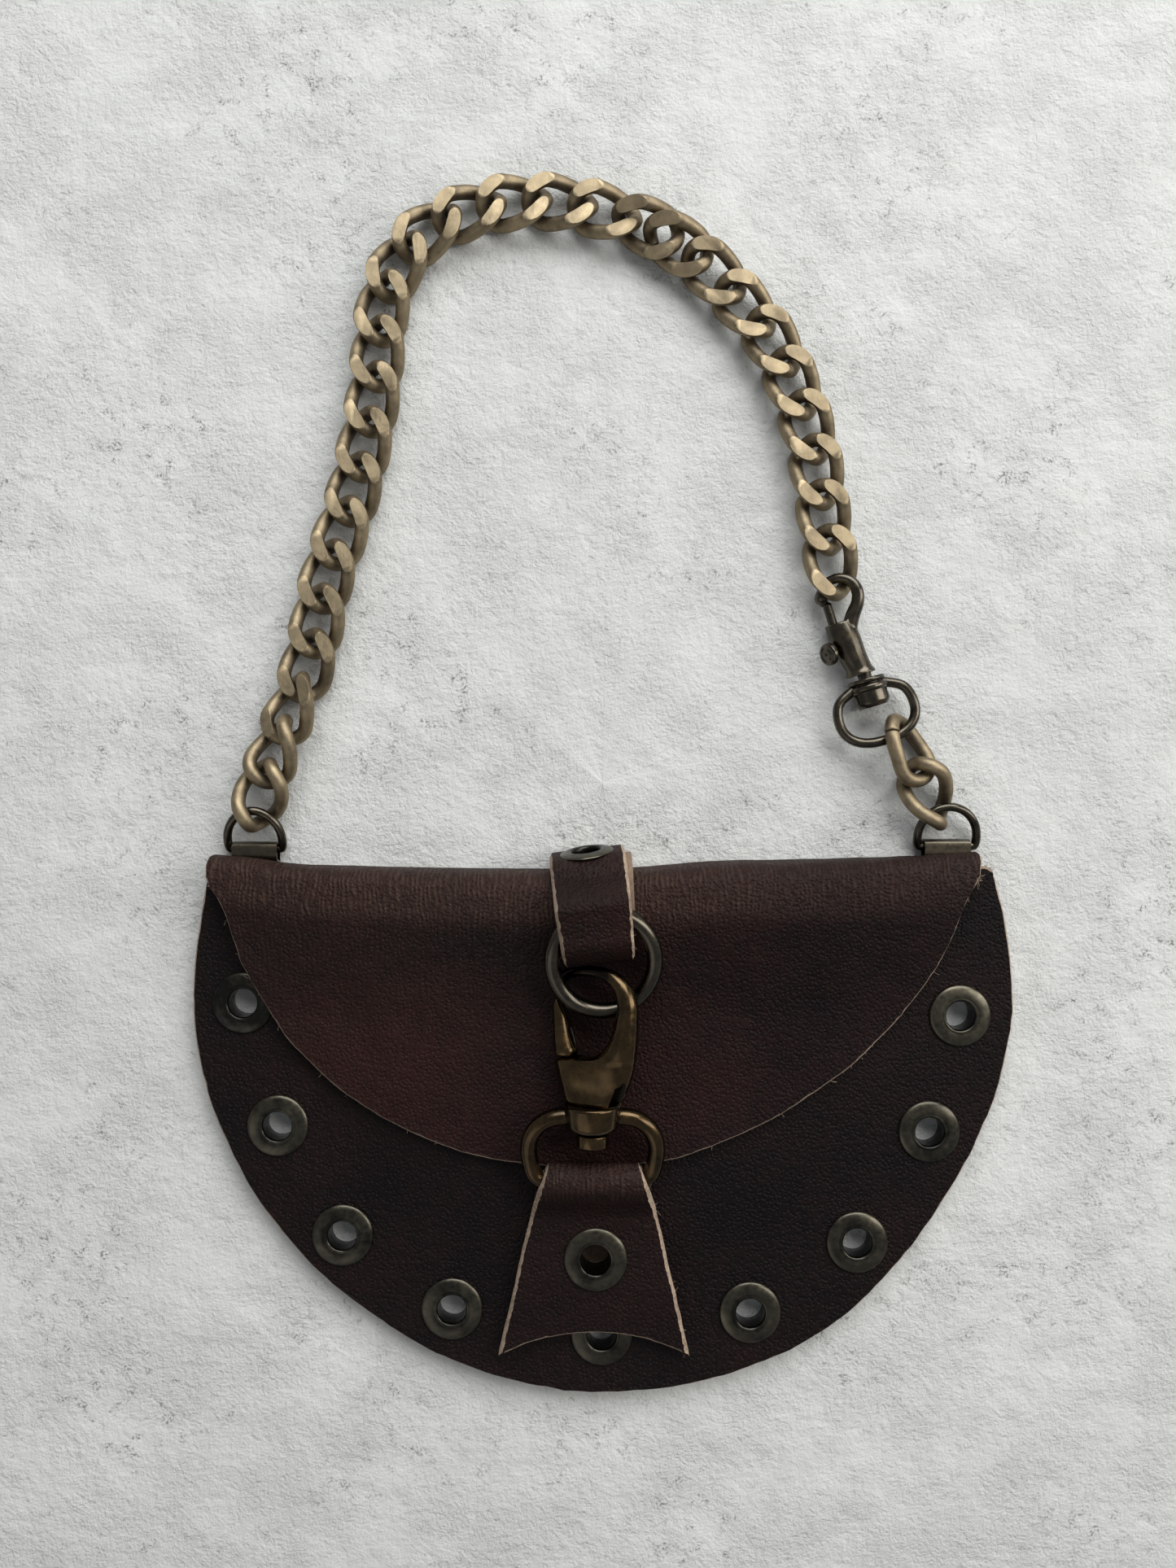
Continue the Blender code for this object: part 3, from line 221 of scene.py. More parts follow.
# Patches of the flap: x, y, reach along x and along y, change of tone
FLAP_PATCHES = ((-24, -36, 20, 7.5, -0.5), (-46, -62, 15, 8, 0.22))
LOWER_LAYER_ASIDE = 1.35
STRAP_EYELET_LEAN = (-0.02, 0.0, 0.06)
STRAP_EYELET_MOVE = (0.0, -0.5, 1.0)
SNAP_CUP_END = -3.3
SNAP_CUP_BORE = 3.0
SNAP_SWIVEL_RADIUS = 2.7
UNFILED_LINKS = ("link_01", "link_02", "short_link_a", "short_link_b")
MOUTH_EAR_X = 78.0
MOUTH_EAR_Y = -19.2
RING_RADIUS_SEEN = 11.3
RING_WIRE_SEEN = 3.55
SEAM_SHARE = 0.33
HOLE_CUT = 4.5
EDGE_REACH = 3.2
EDGE_STEPS = 14
COLLAR_Y = (-76.3, -70.8)
CLASP_BUTTON_Y = (-80.1, -77.3)
CLASP_VOXEL, CLASP_SOFTENING = 0.27, 16
SNAP_VOXEL, SNAP_SOFTENING = 0.24, 6
D_LEG = 2.2
# Places across a clip, with room at both ends for its rounded edge
CLIP_ROWS = (-0.5, -0.485, 0.485, 0.5)
EYELET_LIP = 0.36
EYELET_GROOVE = 0.9
LINK_END_STEP = 36.0
LINK_SPOTS, LINK_SIDES = 92, 24
LINK_FLAT_SHINE = 0.18
LINK_FILED = 2.82
LINK_SEAM_DEPTH = 0.30
LINK_SEAM_WIDTH = 0.13
LEAST_RADIUS = 0.02
SHARP_ANGLE = 40
COAT_ROUGHNESS = 0.14


def smooth(share):
    share = np.clip(share, 0.0, 1.0)
    return share * share * (3 - 2 * share)


def bell(value, middle, reach):
    return np.exp(-(((value - middle) / reach) ** 2))


def signed_power(value, power):
    return copysign(abs(value) ** power, value)


def ripple(x, y, size, seed=0.0):
    """Smooth noise between about -1 and 1 with bumps of a size in millimetres."""
    return noise.noise(Vector((x / size, y / size, seed)))


# Surfaces of the pouch, as in the solids


def half_width(y):
    if y >= POUCH_WIDEST_Y:
        up = (y - POUCH_WIDEST_Y) / (FOLD_Y - POUCH_WIDEST_Y)
        return POUCH_HALF_WIDTH * (1 - FOLD_NARROWING * up * up)
    down = (POUCH_WIDEST_Y - y) / POUCH_DEPTH
    return POUCH_HALF_WIDTH * sqrt(max(0.0, 1 - down * down))


def centre_x(y):
    up = max(0.0, (y - POUCH_WIDEST_Y) / (FOLD_Y - POUCH_WIDEST_Y))
    return FOLD_SHIFT * up * up


def rim_distance(x, y):
    if y >= POUCH_WIDEST_Y:
        return half_width(y) - abs(x - centre_x(y))
    return POUCH_HALF_WIDTH * (1 - hypot(x / POUCH_HALF_WIDTH, (POUCH_WIDEST_Y - y) / POUCH_DEPTH))


def back_bottom(x, y):
    return RIM_LIFT - (RIM_LIFT - 0.1) * smooth((rim_distance(x, y) - RIM_BAND) / 12.0)


def front_bottom(x, y):
    reach = (min(y, FRONT_MOUTH_Y) - FRONT_MOUTH_Y) / FRONT_SWELL_REACH
    swell = FRONT_SWELL_BASE + FRONT_SWELL * exp(reach)
    share = smooth((rim_distance(x, min(y, FRONT_MOUTH_Y)) - RIM_BAND) / 24.0)
    return RIM_LIFT + LEATHER + GAP + swell * share


def fold_y(x):
    rise = FOLD_RIGHT_RISE * smooth(x / 30.0) + FOLD_LEFT_RISE * smooth((-x - 68.0) / 18.0)
    return FOLD_Y + (FOLD_CORNER_Y - FOLD_Y) * abs(x / POUCH_HALF_WIDTH) ** 3 + rise


def roll_height(x):
    return ROLL_CORNER_HEIGHT + (ROLL_HEIGHT - ROLL_CORNER_HEIGHT) * (1 - (x / POUCH_HALF_WIDTH) ** 2)


def roll_end_y(x):
    return fold_y(x) - ROLL_DEPTH * roll_height(x) / ROLL_HEIGHT


def flap_rest(x, y):
    over_eyelets = RIM_LIFT + 2 * LEATHER + GAP + EYELET_FLANGE + 2 * GAP
    return max(over_eyelets, front_bottom(x, y) + LEATHER) + GAP + LEATHER


def flap_top(x, y):
    start = roll_end_y(x)
    if y >= start:
        return roll_height(x)
    lift = roll_height(x) - flap_rest(x, start)
    return flap_rest(x, y) + lift * (1 - smooth((start - y) / FLAP_SETTLE))


def roll_point(x, angle, inset):
    high = roll_height(x)
    low = back_bottom(x, roll_end_y(x))
    deep = fold_y(x) - roll_end_y(x) - inset
    power = 2.0 / ROLL_SQUARENESS
    turn = radians(angle)
    across = abs(cos(turn)) ** power
    rise = signed_power(sin(turn), power)
    z = (low + high) / 2 + ((high - low) / 2 - inset) * rise
    y = roll_end_y(x) + deep * across
    return (y - ROLL_LEAN * (z - 3.0) * across * (high / ROLL_HEIGHT), z)


# Mesh helpers


def resample(points, count):
    """The polyline's points spaced evenly by its first three columns."""
    points = np.array(points, float)
    steps = np.linalg.norm(np.diff(points[:, :3], axis=0), axis=1)
    along = np.concatenate([[0.0], np.cumsum(steps)])
    wanted = np.linspace(0.0, along[-1], count)
    return np.stack([np.interp(wanted, along, column) for column in points.T], 1)


def smooth_line(points, steps):
    """Small steps of a smooth curve that goes through all but the first and the last point."""
    line = []
    for i in range(1, len(points) - 2):
        a, b, c, d = points[i - 1 : i + 3]
        for t in np.arange(steps) / steps:
            cubic = (2 * a - 5 * b + 4 * c - d) * t * t + (3 * b - a - 3 * c + d) * t**3
            line.append(0.5 * (2 * b + (c - a) * t + cubic))
    return line + [points[-2]]


def spline(points, count, cyclic=False):
    """A smooth curve through the points, as count evenly spaced points."""
    points = np.array(points, float)
    if cyclic:
        points = np.concatenate([points[-1:], points, points[:2]])
    else:
        points = np.concatenate([2 * points[:1] - points[1:2], points, 2 * points[-1:] - points[-2:-1]])
    line = resample(smooth_line(points, 12), count + 1 if cyclic else count)
    return line[:-1] if cyclic else line


def unit(vectors):
    return vectors / np.maximum(np.linalg.norm(vectors, axis=-1, keepdims=True), 1e-9)


def moved(points, matrix):
    matrix = np.array(matrix)
    return np.array(points, float) @ matrix[:3, :3].T + matrix[:3, 3]


def at(place):
    return Matrix.Translation(Vector(place))


def turned(angle, axis):
    return Matrix.Rotation(radians(angle), 4, axis)


def pointing(direction, place):
    """Matrix that stands Z along a direction at a place."""
    return at(place) @ Vector(direction).to_track_quat("Z", "Y").to_matrix().to_4x4()


def tube_faces(rows, sides, cyclic):
    faces = []
    for i in range(rows if cyclic else rows - 1):
        a, b = i * sides, (i + 1) % rows * sides
        for k in range(sides):
            n = (k + 1) % sides
            faces.append((a + k, a + n, b + n, b + k))
    if not cyclic:
        faces.append(tuple(reversed(range(sides))))
        faces.append(tuple(range((rows - 1) * sides, rows * sides)))
    return faces


def sweep(course, radius, sides=20, cyclic=False, up=(0, 0, 1), round_ends=True):
    """A round wire along a course of points."""
    course = np.array(course, float)
    radius = np.broadcast_to(np.array(radius, float), (len(course),)).copy()
    if cyclic:
        ahead = unit(np.roll(course, -1, 0) - np.roll(course, 1, 0))
    else:
        ahead = unit(np.gradient(course, axis=0))
        if round_ends:
            turns = np.radians((88, 65, 42, 20))
            first = course[0] - ahead[0] * (np.sin(turns) * radius[0])[:, None]
            last = course[-1] + ahead[-1] * (np.sin(turns[::-1]) * radius[-1])[:, None]
            course = np.concatenate([first, course, last])
            radius = np.concatenate([np.cos(turns) * radius[0], radius, np.cos(turns[::-1]) * radius[-1]])
            ahead = np.concatenate([np.repeat(ahead[:1], 4, 0), ahead, np.repeat(ahead[-1:], 4, 0)])
    side = unit(np.cross(np.array(up, float), ahead))
    rise = np.cross(ahead, side)
    points = []
    for k in range(sides):
        turn = 2 * pi * k / sides
        points.append(course + side * (radius * cos(turn))[:, None] + rise * (radius * sin(turn))[:, None])
    return np.stack(points, 1).reshape(-1, 3), tube_faces(len(course), sides, cyclic)


def revolve(profile, sides):
    """A closed profile of (radius, height) turned about Z."""
    turns = 2 * pi * np.arange(sides) / sides
    points = [np.stack([r * np.cos(turns), r * np.sin(turns), 0 * turns + h], 1) for r, h in profile]
    return np.concatenate(points), tube_faces(len(profile), sides, True)


def rounded(profile, cut, steps=3):
    """The closed profile with each corner rounded by a cut of that length, at most."""
    profile = [np.array(p, float) for p in profile]
    made = []
    for i, here in enumerate(profile):
        before, after = profile[i - 1], profile[(i + 1) % len(profile)]
        a = before - here
        b = after - here
        reach = min(cut, np.linalg.norm(a) * 0.45, np.linalg.norm(b) * 0.45)
        start, end = here + unit(a) * reach, here + unit(b) * reach
        for k in range(steps + 1):
            t = k / steps
            made.append((1 - t) ** 2 * start + 2 * t * (1 - t) * here + t * t * end)
    return made


def lathe(profile, cut, sides, lay):
    """A profile with rounded corners turned about Z, laid down by a matrix."""
    points, faces = revolve([(max(r, LEAST_RADIUS), h) for r, h in rounded(profile, cut)], sides)
    return moved(points, lay), faces


def joined(*parts):
    """Points and faces of several meshes as one mesh."""
    points, faces, base = [], [], 0
    for some, more in parts:
        points.append(np.array(some, float))
        faces.extend(tuple(base + i for i in face) for face in more)
        base += len(some)
    return np.concatenate(points), faces


def face_outwards(mesh):
    work = bmesh.new()
    work.from_mesh(mesh)
    bmesh.ops.recalc_face_normals(work, faces=work.faces)
    work.to_mesh(mesh)
    work.free()


def piece(name, points, faces, materials, body, slot, nodes, face_slots, values):
    """A finished piece of the object that stands for CAD nodes."""
    mesh = bpy.data.meshes.new(name)
    mesh.from_pydata([tuple(p) for p in np.array(points) * MM], [], faces)
    for material in materials:
        mesh.materials.append(material)
    if face_slots is not None:
        mesh.polygons.foreach_set("material_index", face_slots)
    for key, numbers in values.items():
        layer = mesh.attributes.new(key, "FLOAT", "POINT")
        layer.data.foreach_set("value", np.array(numbers, np.float32))
    face_outwards(mesh)
    mesh.shade_smooth()
    mesh.set_sharp_from_angle(angle=radians(SHARP_ANGLE))
    item = bpy.data.objects.new(name, mesh)
    bpy.context.scene.collection.objects.link(item)
    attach(item, body)
    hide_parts(*nodes)


def metal_piece(name, mesh, metal, node, worn, body=ROOT):
    material, slot = metal
    piece(name, *mesh, [material], body, slot, [node], None, {"worn": worn})


def scratch_object(points, faces):
    """An object for one step of work, which result_of deletes."""
    mesh = bpy.data.meshes.new("scratch")
    mesh.from_pydata([tuple(p) for p in points], [], faces)
    item = bpy.data.objects.new("scratch", mesh)
    bpy.context.scene.collection.objects.link(item)
    return item


def result_of(item, *helpers):
    """Points and faces of a scratch object after its modifiers."""
    made = item.evaluated_get(bpy.context.evaluated_depsgraph_get()).to_mesh()
    points = np.empty(len(made.vertices) * 3, np.float32)
    made.vertices.foreach_get("co", points)
    faces = [tuple(p.vertices) for p in made.polygons]
    for thing in (item, *helpers):
        mesh = thing.data
        bpy.data.objects.remove(thing)
        bpy.data.meshes.remove(mesh)
    return points.reshape(-1, 3).astype(float), faces


def fused(shells, voxel, steps):
    """Overlapping closed shells made into one smooth casting."""
    item = scratch_object(*joined(*shells))
    melt = item.modifiers.new("melt", "REMESH")
    melt.mode = "VOXEL"
    melt.voxel_size = voxel
    soften = item.modifiers.new("soften", "SMOOTH")
    soften.factor = 0.5
    soften.iterations = steps
    return result_of(item)


def cut_away(mesh, outline, low, high):
    """The mesh with a prism cut out of it, which stands on an outline in the plan from low to high."""
    sides = len(outline)
    walls = [(k, k + sides, (k + 1) % sides + sides, (k + 1) % sides) for k in range(sides)]
    ends = [tuple(range(sides)), tuple(reversed(range(sides, 2 * sides)))]
    knife = scratch_object([(x, y, z) for z in (low, high) for x, y in outline], ends + walls)
    face_outwards(knife.data)
    item = scratch_object(*mesh)
    cut = item.modifiers.new("cut", "BOOLEAN")
    cut.operation = "DIFFERENCE"
    cut.solver = "EXACT"
    cut.object = knife
    return result_of(item, knife)


def grid_normals(grid):
    along = np.gradient(grid, axis=0)
    across = np.gradient(grid, axis=1)
    return unit(np.cross(across, along))


def perimeter(rows, cols):
    """Grid places round the edge, in order."""
    ring = [(0, j) for j in range(cols)]
    ring += [(i, cols - 1) for i in range(1, rows)]
    ring += [(rows - 1, j) for j in range(cols - 2, -1, -1)]
    ring += [(i, 0) for i in range(rows - 2, 0, -1)]
    return ring


def edge_fibres(edge, inward, out, count):
    """Short loose fibres that stand out of a raw edge."""
    made = []
    ahead = unit(np.roll(edge, -1, 0) - np.roll(edge, 1, 0))
    for n in range(count):
        k = int(len(edge) * ((n * 0.618034 + 0.07 * sin(n)) % 1.0))
        length = 0.25 + 1.35 * ((n * 0.377) % 1.0) ** 3
        way = unit(-inward[k] + ahead[k] * 1.1 * sin(n * 2.1) + out[k] * 0.35 * sin(n * 1.3))
        curl = unit(ahead[k] * cos(n * 1.7) + out[k] * 0.4) * length * 0.35
        start = edge[k] + inward[k] * 0.15
        course = [start, start + way * length * 0.5 + curl * 0.2, start + way * length + curl]
        made.append(sweep(np.array(course), 0.032, 3, round_ends=False))
    return joined(*made)


def grain_up(grid, row):
    """The grid turned so that its normals point up in the middle of a row."""
    return grid[:, ::-1] if grid_normals(grid)[row, grid.shape[1] // 2][2] < 0 else grid


def dressed(grid, ways, surface):
    """Moves a grid along its ways, and gives its tone and its crease share, which also carries painted
    highlight.

    surface gives the move, tone and crease share with painted highlight at a row and a place.
    """
    tone, crease_and_highlight = np.zeros((2, *grid.shape[:2]))
    for i, j in np.ndindex(tone.shape):
        lift, tone[i, j], crease_and_highlight[i, j] = surface(i, *grid[i, j, :2])
        grid[i, j] += ways[i, j] * lift
    return tone, crease_and_highlight


def leather_solid(name, node, grid, thickness, chamfer, holes, tone, crease_and_highlight, wobble, fibres):
    """A sheet of leather from a grid of its middle surface: grain side, flesh side and a slanted raw edge.

    chamfer is how far the grain side stops short of the cut, and the edge wavers by wobble.
    """
    rows, cols = grid.shape[:2]
    normal = grid_normals(grid)
    ring = perimeter(rows, cols)
    edge = np.array([grid[i, j] for i, j in ring])
    out = np.array([normal[i, j] for i, j in ring])
    inward = unit(np.cross(out, unit(np.roll(edge, -1, 0) - np.roll(edge, 1, 0))))
    middle = grid[rows // 2, 0] - grid[rows // 2, cols // 2]
    spot = ring.index((rows // 2, 0))
    if inward[spot] @ middle > 0:
        inward = -inward
    waver = np.array([ripple(x, y, 2.6, 5.0) + 1.6 * ripple(x, y, 13.0, 1.0) for x, y, _ in edge]) * wobble
    rag = np.array([ripple(x, y, 0.9, 11.0 + z / 9) for x, y, z in edge])
    top = grid + normal * thickness / 2
    low = grid - normal * thickness / 2
    for k, (i, j) in enumerate(ring):
        cut = chamfer * (1 + 0.35 * rag[k])
        step_i = (i == 0) - (i == rows - 1)
        step_j = (j == 0) - (j == cols - 1) if step_i == 0 else 0
        for n in range(EDGE_STEPS if 0 < j < cols - 1 or step_i == 0 else 1):
            a, b = i + n * step_i, j + n * step_j
            share = 1 - np.linalg.norm(grid[a, b] - edge[k]) / EDGE_REACH
            if share > 0:
                top[a, b] += inward[k] * (cut + waver[k]) * share
                low[a, b] += inward[k] * waver[k] * share
    mid = edge + inward * (waver + chamfer * 0.12 + 0.07 * rag)[:, None] - out * thickness * 0.1
    count = rows * cols
    points = np.concatenate([top.reshape(-1, 3), low.reshape(-1, 3), mid])
    removed = np.zeros((rows - 1, cols - 1), bool)
    centres = (grid[:-1, :-1] + grid[1:, 1:]) / 2
    for place, axis, reach in holes:
        away = centres - np.array(place)
        axis = np.array(axis, float)
        depth = away @ axis
        flat = np.linalg.norm(away - depth[..., None] * axis, axis=-1)
        removed |= (flat < HOLE_CUT) & (np.abs(depth) < reach)
    faces, slots = [], []
    for i in range(rows - 1):
        for j in range(cols - 1):
            if removed[i, j]:
                continue
            quad = (i * cols + j, i * cols + j + 1, (i + 1) * cols + j + 1, (i + 1) * cols + j)
            faces.append(quad)
            slots.append(0)
            faces.append(tuple(count + v for v in reversed(quad)))
            slots.append(1)
            for di, dj, a, b in ((-1, 0, 0, 1), (0, 1, 1, 2), (1, 0, 2, 3), (0, -1, 3, 0)):
                ni, nj = i + di, j + dj
                if 0 <= ni < rows - 1 and 0 <= nj < cols - 1 and removed[ni, nj]:
                    faces.append((quad[b], quad[a], count + quad[a], count + quad[b]))
                    slots.append(2)
    loop = [i * cols + j for i, j in ring]
    for k, here in enumerate(loop):
        n = (k + 1) % len(loop)
        faces.append((loop[n], here, 2 * count + k, 2 * count + n))
        faces.append((2 * count + n, 2 * count + k, count + here, count + loop[n]))
    slots += [2] * 2 * len(loop)
    loose, loose_faces = edge_fibres(mid, inward, out, fibres)
    slots += [2] * len(loose_faces)
    points, faces = joined((points, faces), (loose, loose_faces))
    layers = {}
    for key, numbers in (("tone", tone.reshape(-1)), ("crease_and_highlight", crease_and_highlight.reshape(-1))):
        layers[key] = np.concatenate([numbers, numbers, numbers[loop], np.zeros(len(loose))])
    piece(name, points, faces, LEATHERS, ROOT, "leather", [node], slots, layers)


def patch(top, outline, rows):
    """A grid of plan places in straight lines from the outline, its first row, to the top, its last."""
    low = resample(outline, len(top))
    share = np.linspace(0, 1, rows)[:, None, None]
    return (1 - share) * low[None] + share * np.array(top)[None]


# Materials


class Nodes:
    """Short way to build a material's node tree."""

    def __init__(self, name):
        self.material = bpy.data.materials.new(name)
        self.material.use_nodes = True
        self.tree = self.material.node_tree
        self.shader = self.tree.nodes["Principled BSDF"]
        self.place = self.add("ShaderNodeTexCoord").outputs["Object"]

    def add(self, kind, inputs=None, **settings):
        node = self.tree.nodes.new(kind)
        for key, value in settings.items():
            setattr(node, key, value)
        for key, value in (inputs or {}).items():
            self.link(value, node.inputs[key])
        return node

    def link(self, value, socket):
        if isinstance(value, bpy.types.NodeSocket):
            self.tree.links.new(value, socket)
        elif isinstance(value, tuple) and len(value) == 3 and socket.type == "RGBA":
            socket.default_value = (*value, 1.0)
        else:
            socket.default_value = value

    def stretched(self, scale):
        return self.add("ShaderNodeMapping", {"Vector": self.place, "Scale": scale}).outputs["Vector"]

    def noise(self, scale, detail=3.0, roughness=0.55, vector=None):
        inputs = {"Vector": vector or self.place, "Scale": scale, "Detail": detail, "Roughness": roughness}
        return self.add("ShaderNodeTexNoise", inputs).outputs["Fac"]

    def cells(self, scale, vector=None, feature="F1"):
        inputs = {"Vector": vector or self.place, "Scale": scale}
        return self.add("ShaderNodeTexVoronoi", inputs, feature=feature).outputs["Distance"]

    def value(self, name):
        return self.add("ShaderNodeAttribute", attribute_name=name).outputs["Fac"]

    def math(self, operation, a, b=0.0):
        return self.add("ShaderNodeMath", {0: a, 1: b}, operation=operation).outputs[0]

    def times(self, a, b):
        return self.math("MULTIPLY", a, b)

    def plus(self, a, b):
        return self.math("ADD", a, b)

    def span(self, value, low, high, to_low=0.0, to_high=1.0):
        inputs = {"Value": value, "From Min": low, "From Max": high, "To Min": to_low, "To Max": to_high}
        return self.add("ShaderNodeMapRange", inputs).outputs["Result"]

    def mix(self, share, a, b):
        node = self.add("ShaderNodeMix", data_type="RGBA")
        self.link(share, node.inputs[0])
        self.link(a, node.inputs[6])
        self.link(b, node.inputs[7])
        return node.outputs[2]

    def bump(self, height, distance, before=None, strength=1.0):
        inputs = {"Height": height, "Distance": distance, "Strength": strength}
        if before is not None:
            inputs["Normal"] = before
        return self.add("ShaderNodeBump", inputs).outputs["Normal"]

    def finish(self, **inputs):
        for key, value in inputs.items():
            self.link(value, self.shader.inputs[key.replace("_", " ").title().replace("Ior", "IOR")])
        return self.material


LEATHER_BLACK = (0.0036, 0.0024, 0.0028)
LEATHER_BROWN = (0.0105, 0.0046, 0.0042)
LEATHER_RED = (0.0205, 0.0070, 0.0052)
LEATHER_SCUFF_AND_HIGHLIGHT = (0.105, 0.063, 0.046)
LEATHER_EDGE = (0.44, 0.335, 0.24)
LEATHER_EDGE_DARK = (0.16, 0.10, 0.066)
LEATHER_FLESH = (0.25, 0.175, 0.12)
PLASTER_GREY = (0.600, 0.600, 0.572)
PLASTER_WHITE = (0.665, 0.662, 0.632)
PLASTER_SHADE = (0.52, 0.52, 0.495)
PLASTER_DIRT = (0.15, 0.15, 0.14)


def leather_material():
    n = Nodes("waxed_leather")
    tone = n.value("tone")
    crease_and_highlight = n.value("crease_and_highlight")
    blotch = n.noise(38.0, 4.0)
    cloud = n.noise(120.0, 3.0)
    mottle = n.noise(420.0, 3.0, 0.6)
    across = n.add("ShaderNodeSeparateXYZ", {0: n.place}).outputs["X"]
    sway = n.noise(1.0, 2.0, 0.5, n.stretched((170.0, 80.0, 80.0)))
    phase = n.plus(n.times(across, 5400.0), n.times(sway, 24.0))
    ridges = n.span(n.math("SINE", phase), -1.0, 1.0)
    broken = n.noise(1.0, 2.0, 0.5, n.stretched((520.0, 330.0, 330.0)))
    ridges = n.times(ridges, n.span(broken, 0.36, 0.60))
    pores = n.cells(1250.0)
    fine = n.noise(2400.0, 3.0, 0.6)
    mixed = n.plus(tone, n.span(blotch, 0.3, 0.7, -0.26, 0.26))
    mixed = n.plus(mixed, n.span(mottle, 0.3, 0.7, -0.16, 0.16))
    base = n.mix(n.span(mixed, 0.0, 0.55), LEATHER_BLACK, LEATHER_BROWN)
    base = n.mix(n.span(mixed, 0.5, 1.1), base, LEATHER_RED)
    # Lighter scuffs: wear and stretched grain at creases, grain speckle, and painted highlight on folds
    # where they face the light
    scuff_and_highlight = n.times(ridges, n.times(crease_and_highlight, 0.30))
    scuff_and_highlight = n.plus(scuff_and_highlight, n.times(n.span(cloud, 0.5, 0.9), 0.025))
    scuff_and_highlight = n.plus(scuff_and_highlight, n.times(crease_and_highlight, 0.13))
    scuff_and_highlight = n.plus(scuff_and_highlight, n.times(n.span(fine, 0.52, 0.78), n.span(mixed, 0.1, 1.0, 0.010, 0.120)))
    base = n.mix(scuff_and_highlight, base, LEATHER_SCUFF_AND_HIGHLIGHT)
    dimple = n.span(pores, 0.12, 0.6)
    normal = n.bump(n.times(ridges, n.plus(crease_and_highlight, 0.05)), 0.00017)
    normal = n.bump(dimple, 0.00021, normal)
    normal = n.bump(fine, 0.00009, normal)
    rough = n.span(n.plus(cloud, n.times(fine, 0.5)), 0.4, 1.1, 0.44, 0.66)
    return n.finish(base_color=base, roughness=rough, normal=normal, specular_ior_level=0.10)


def flesh_material():
    n = Nodes("leather_flesh_side")
    fluff = n.noise(900.0, 5.0, 0.7)
    base = n.mix(n.span(fluff, 0.3, 0.7), LEATHER_EDGE_DARK, LEATHER_FLESH)
    return n.finish(base_color=base, roughness=0.9, normal=n.bump(fluff, 0.0003))


def edge_material():
    n = Nodes("leather_raw_edge")
    fluff = n.noise(1500.0, 4.0, 0.65)
    patch_tone = n.noise(210.0, 3.0)
    light = n.plus(fluff, n.times(patch_tone, 0.6))
    base = n.mix(n.span(light, 0.55, 1.0), LEATHER_EDGE_DARK, LEATHER_EDGE)
    return n.finish(base_color=base, roughness=0.88, normal=n.bump(fluff, 0.00025))


def metal_material(name, slot, dark, bright, rough, wear_low, speckle=900.0, brushed=False, polish=0.0):
    """A metal that is dark where it is tarnished and where shade is painted in, and bright where it is
    rubbed, with its slot.
    """
    n = Nodes(name)
    worn = n.value("worn")
    cloud = n.noise(260.0, 4.0, 0.6)
    grit = n.noise(speckle, 3.0, 0.6)
    share = n.plus(n.span(cloud, 0.25, 0.75, 0.02, 0.44), n.times(grit, 0.20))
    share = n.plus(share, worn)
    base = n.mix(n.span(share, wear_low, wear_low + 0.6), dark, bright)
    if brushed:
        lines = n.noise(1.0, 4.0, 0.7, n.stretched((2600.0, 420.0, 2600.0)))
        normal = n.bump(lines, 0.00005, n.bump(grit, 0.00003))
    else:
        normal = n.bump(cloud, 0.00003, n.bump(grit, 0.000012))
    roughness = n.span(grit, 0.3, 0.75, rough - 0.07, rough + 0.1)
    coat = {"coat_weight": polish, "coat_roughness": COAT_ROUGHNESS}
    return n.finish(base_color=base, metallic=1.0, roughness=roughness, normal=normal, **coat), slot


def floor_material():
    n = Nodes("plaster")
    broad = n.noise(5.0, 4.0, 0.6)
    middle = n.noise(105.0, 6.0, 0.58)
    lumps = n.noise(560.0, 5.0, 0.62)
    grain = n.noise(1500.0, 4.0, 0.65)
    patches = n.noise(22.0, 5.0, 0.6)
    specks = n.noise(260.0, 3.0, 0.6)
    base = n.mix(n.span(broad, 0.3, 0.7), PLASTER_GREY, PLASTER_WHITE)
    base = n.mix(n.span(middle, 0.42, 0.8, 0.0, 0.4), base, PLASTER_SHADE)
    dirt = n.times(n.span(specks, 0.54, 0.64), n.span(grain, 0.48, 0.58))
    dirt = n.times(dirt, n.span(patches, 0.46, 0.60))
    base = n.mix(n.times(dirt, 0.8), base, PLASTER_DIRT)
    rough_places = n.span(n.noise(48.0, 4.0, 0.6), 0.38, 0.62, 0.45, 1.0)
    normal = n.bump(n.times(lumps, rough_places), 0.0008, n.bump(middle, 0.0010))
    normal = n.bump(n.times(grain, rough_places), 0.00046, normal)
    return n.finish(base_color=base, roughness=0.92, normal=normal, specular_ior_level=0.2)


GRAIN = leather_material()
FLESH = flesh_material()
EDGE = edge_material()
LEATHERS = (GRAIN, FLESH, EDGE)
BRASS = metal_material(
    "antique_brass", "antique_brass", (0.010, 0.006, 0.003), (0.108, 0.066, 0.025), 0.24, 0.04, polish=0.3
)
PEWTER = metal_material(
    "aged_ring_brass", "antique_brass", (0.016, 0.014, 0.010), (0.088, 0.074, 0.052), 0.24, 0.02, polish=0.4
)
GUNMETAL = metal_material(
    "antique_eyelet", "antique_brass", (0.018, 0.017, 0.014), (0.130, 0.115, 0.080), 0.34, 0.07, polish=0.2
)
BRONZE = metal_material(
    "brushed_bronze", "brushed_bronze", (0.120, 0.094, 0.064), (0.415, 0.33, 0.206), 0.52, 0.05, 1400.0, True
)
DARK = metal_material(
    "dark_brass", "dark_brass", (0.015, 0.013, 0.010), (0.100, 0.081, 0.053), 0.30, 0.05, polish=0.5
)


# Leather pieces


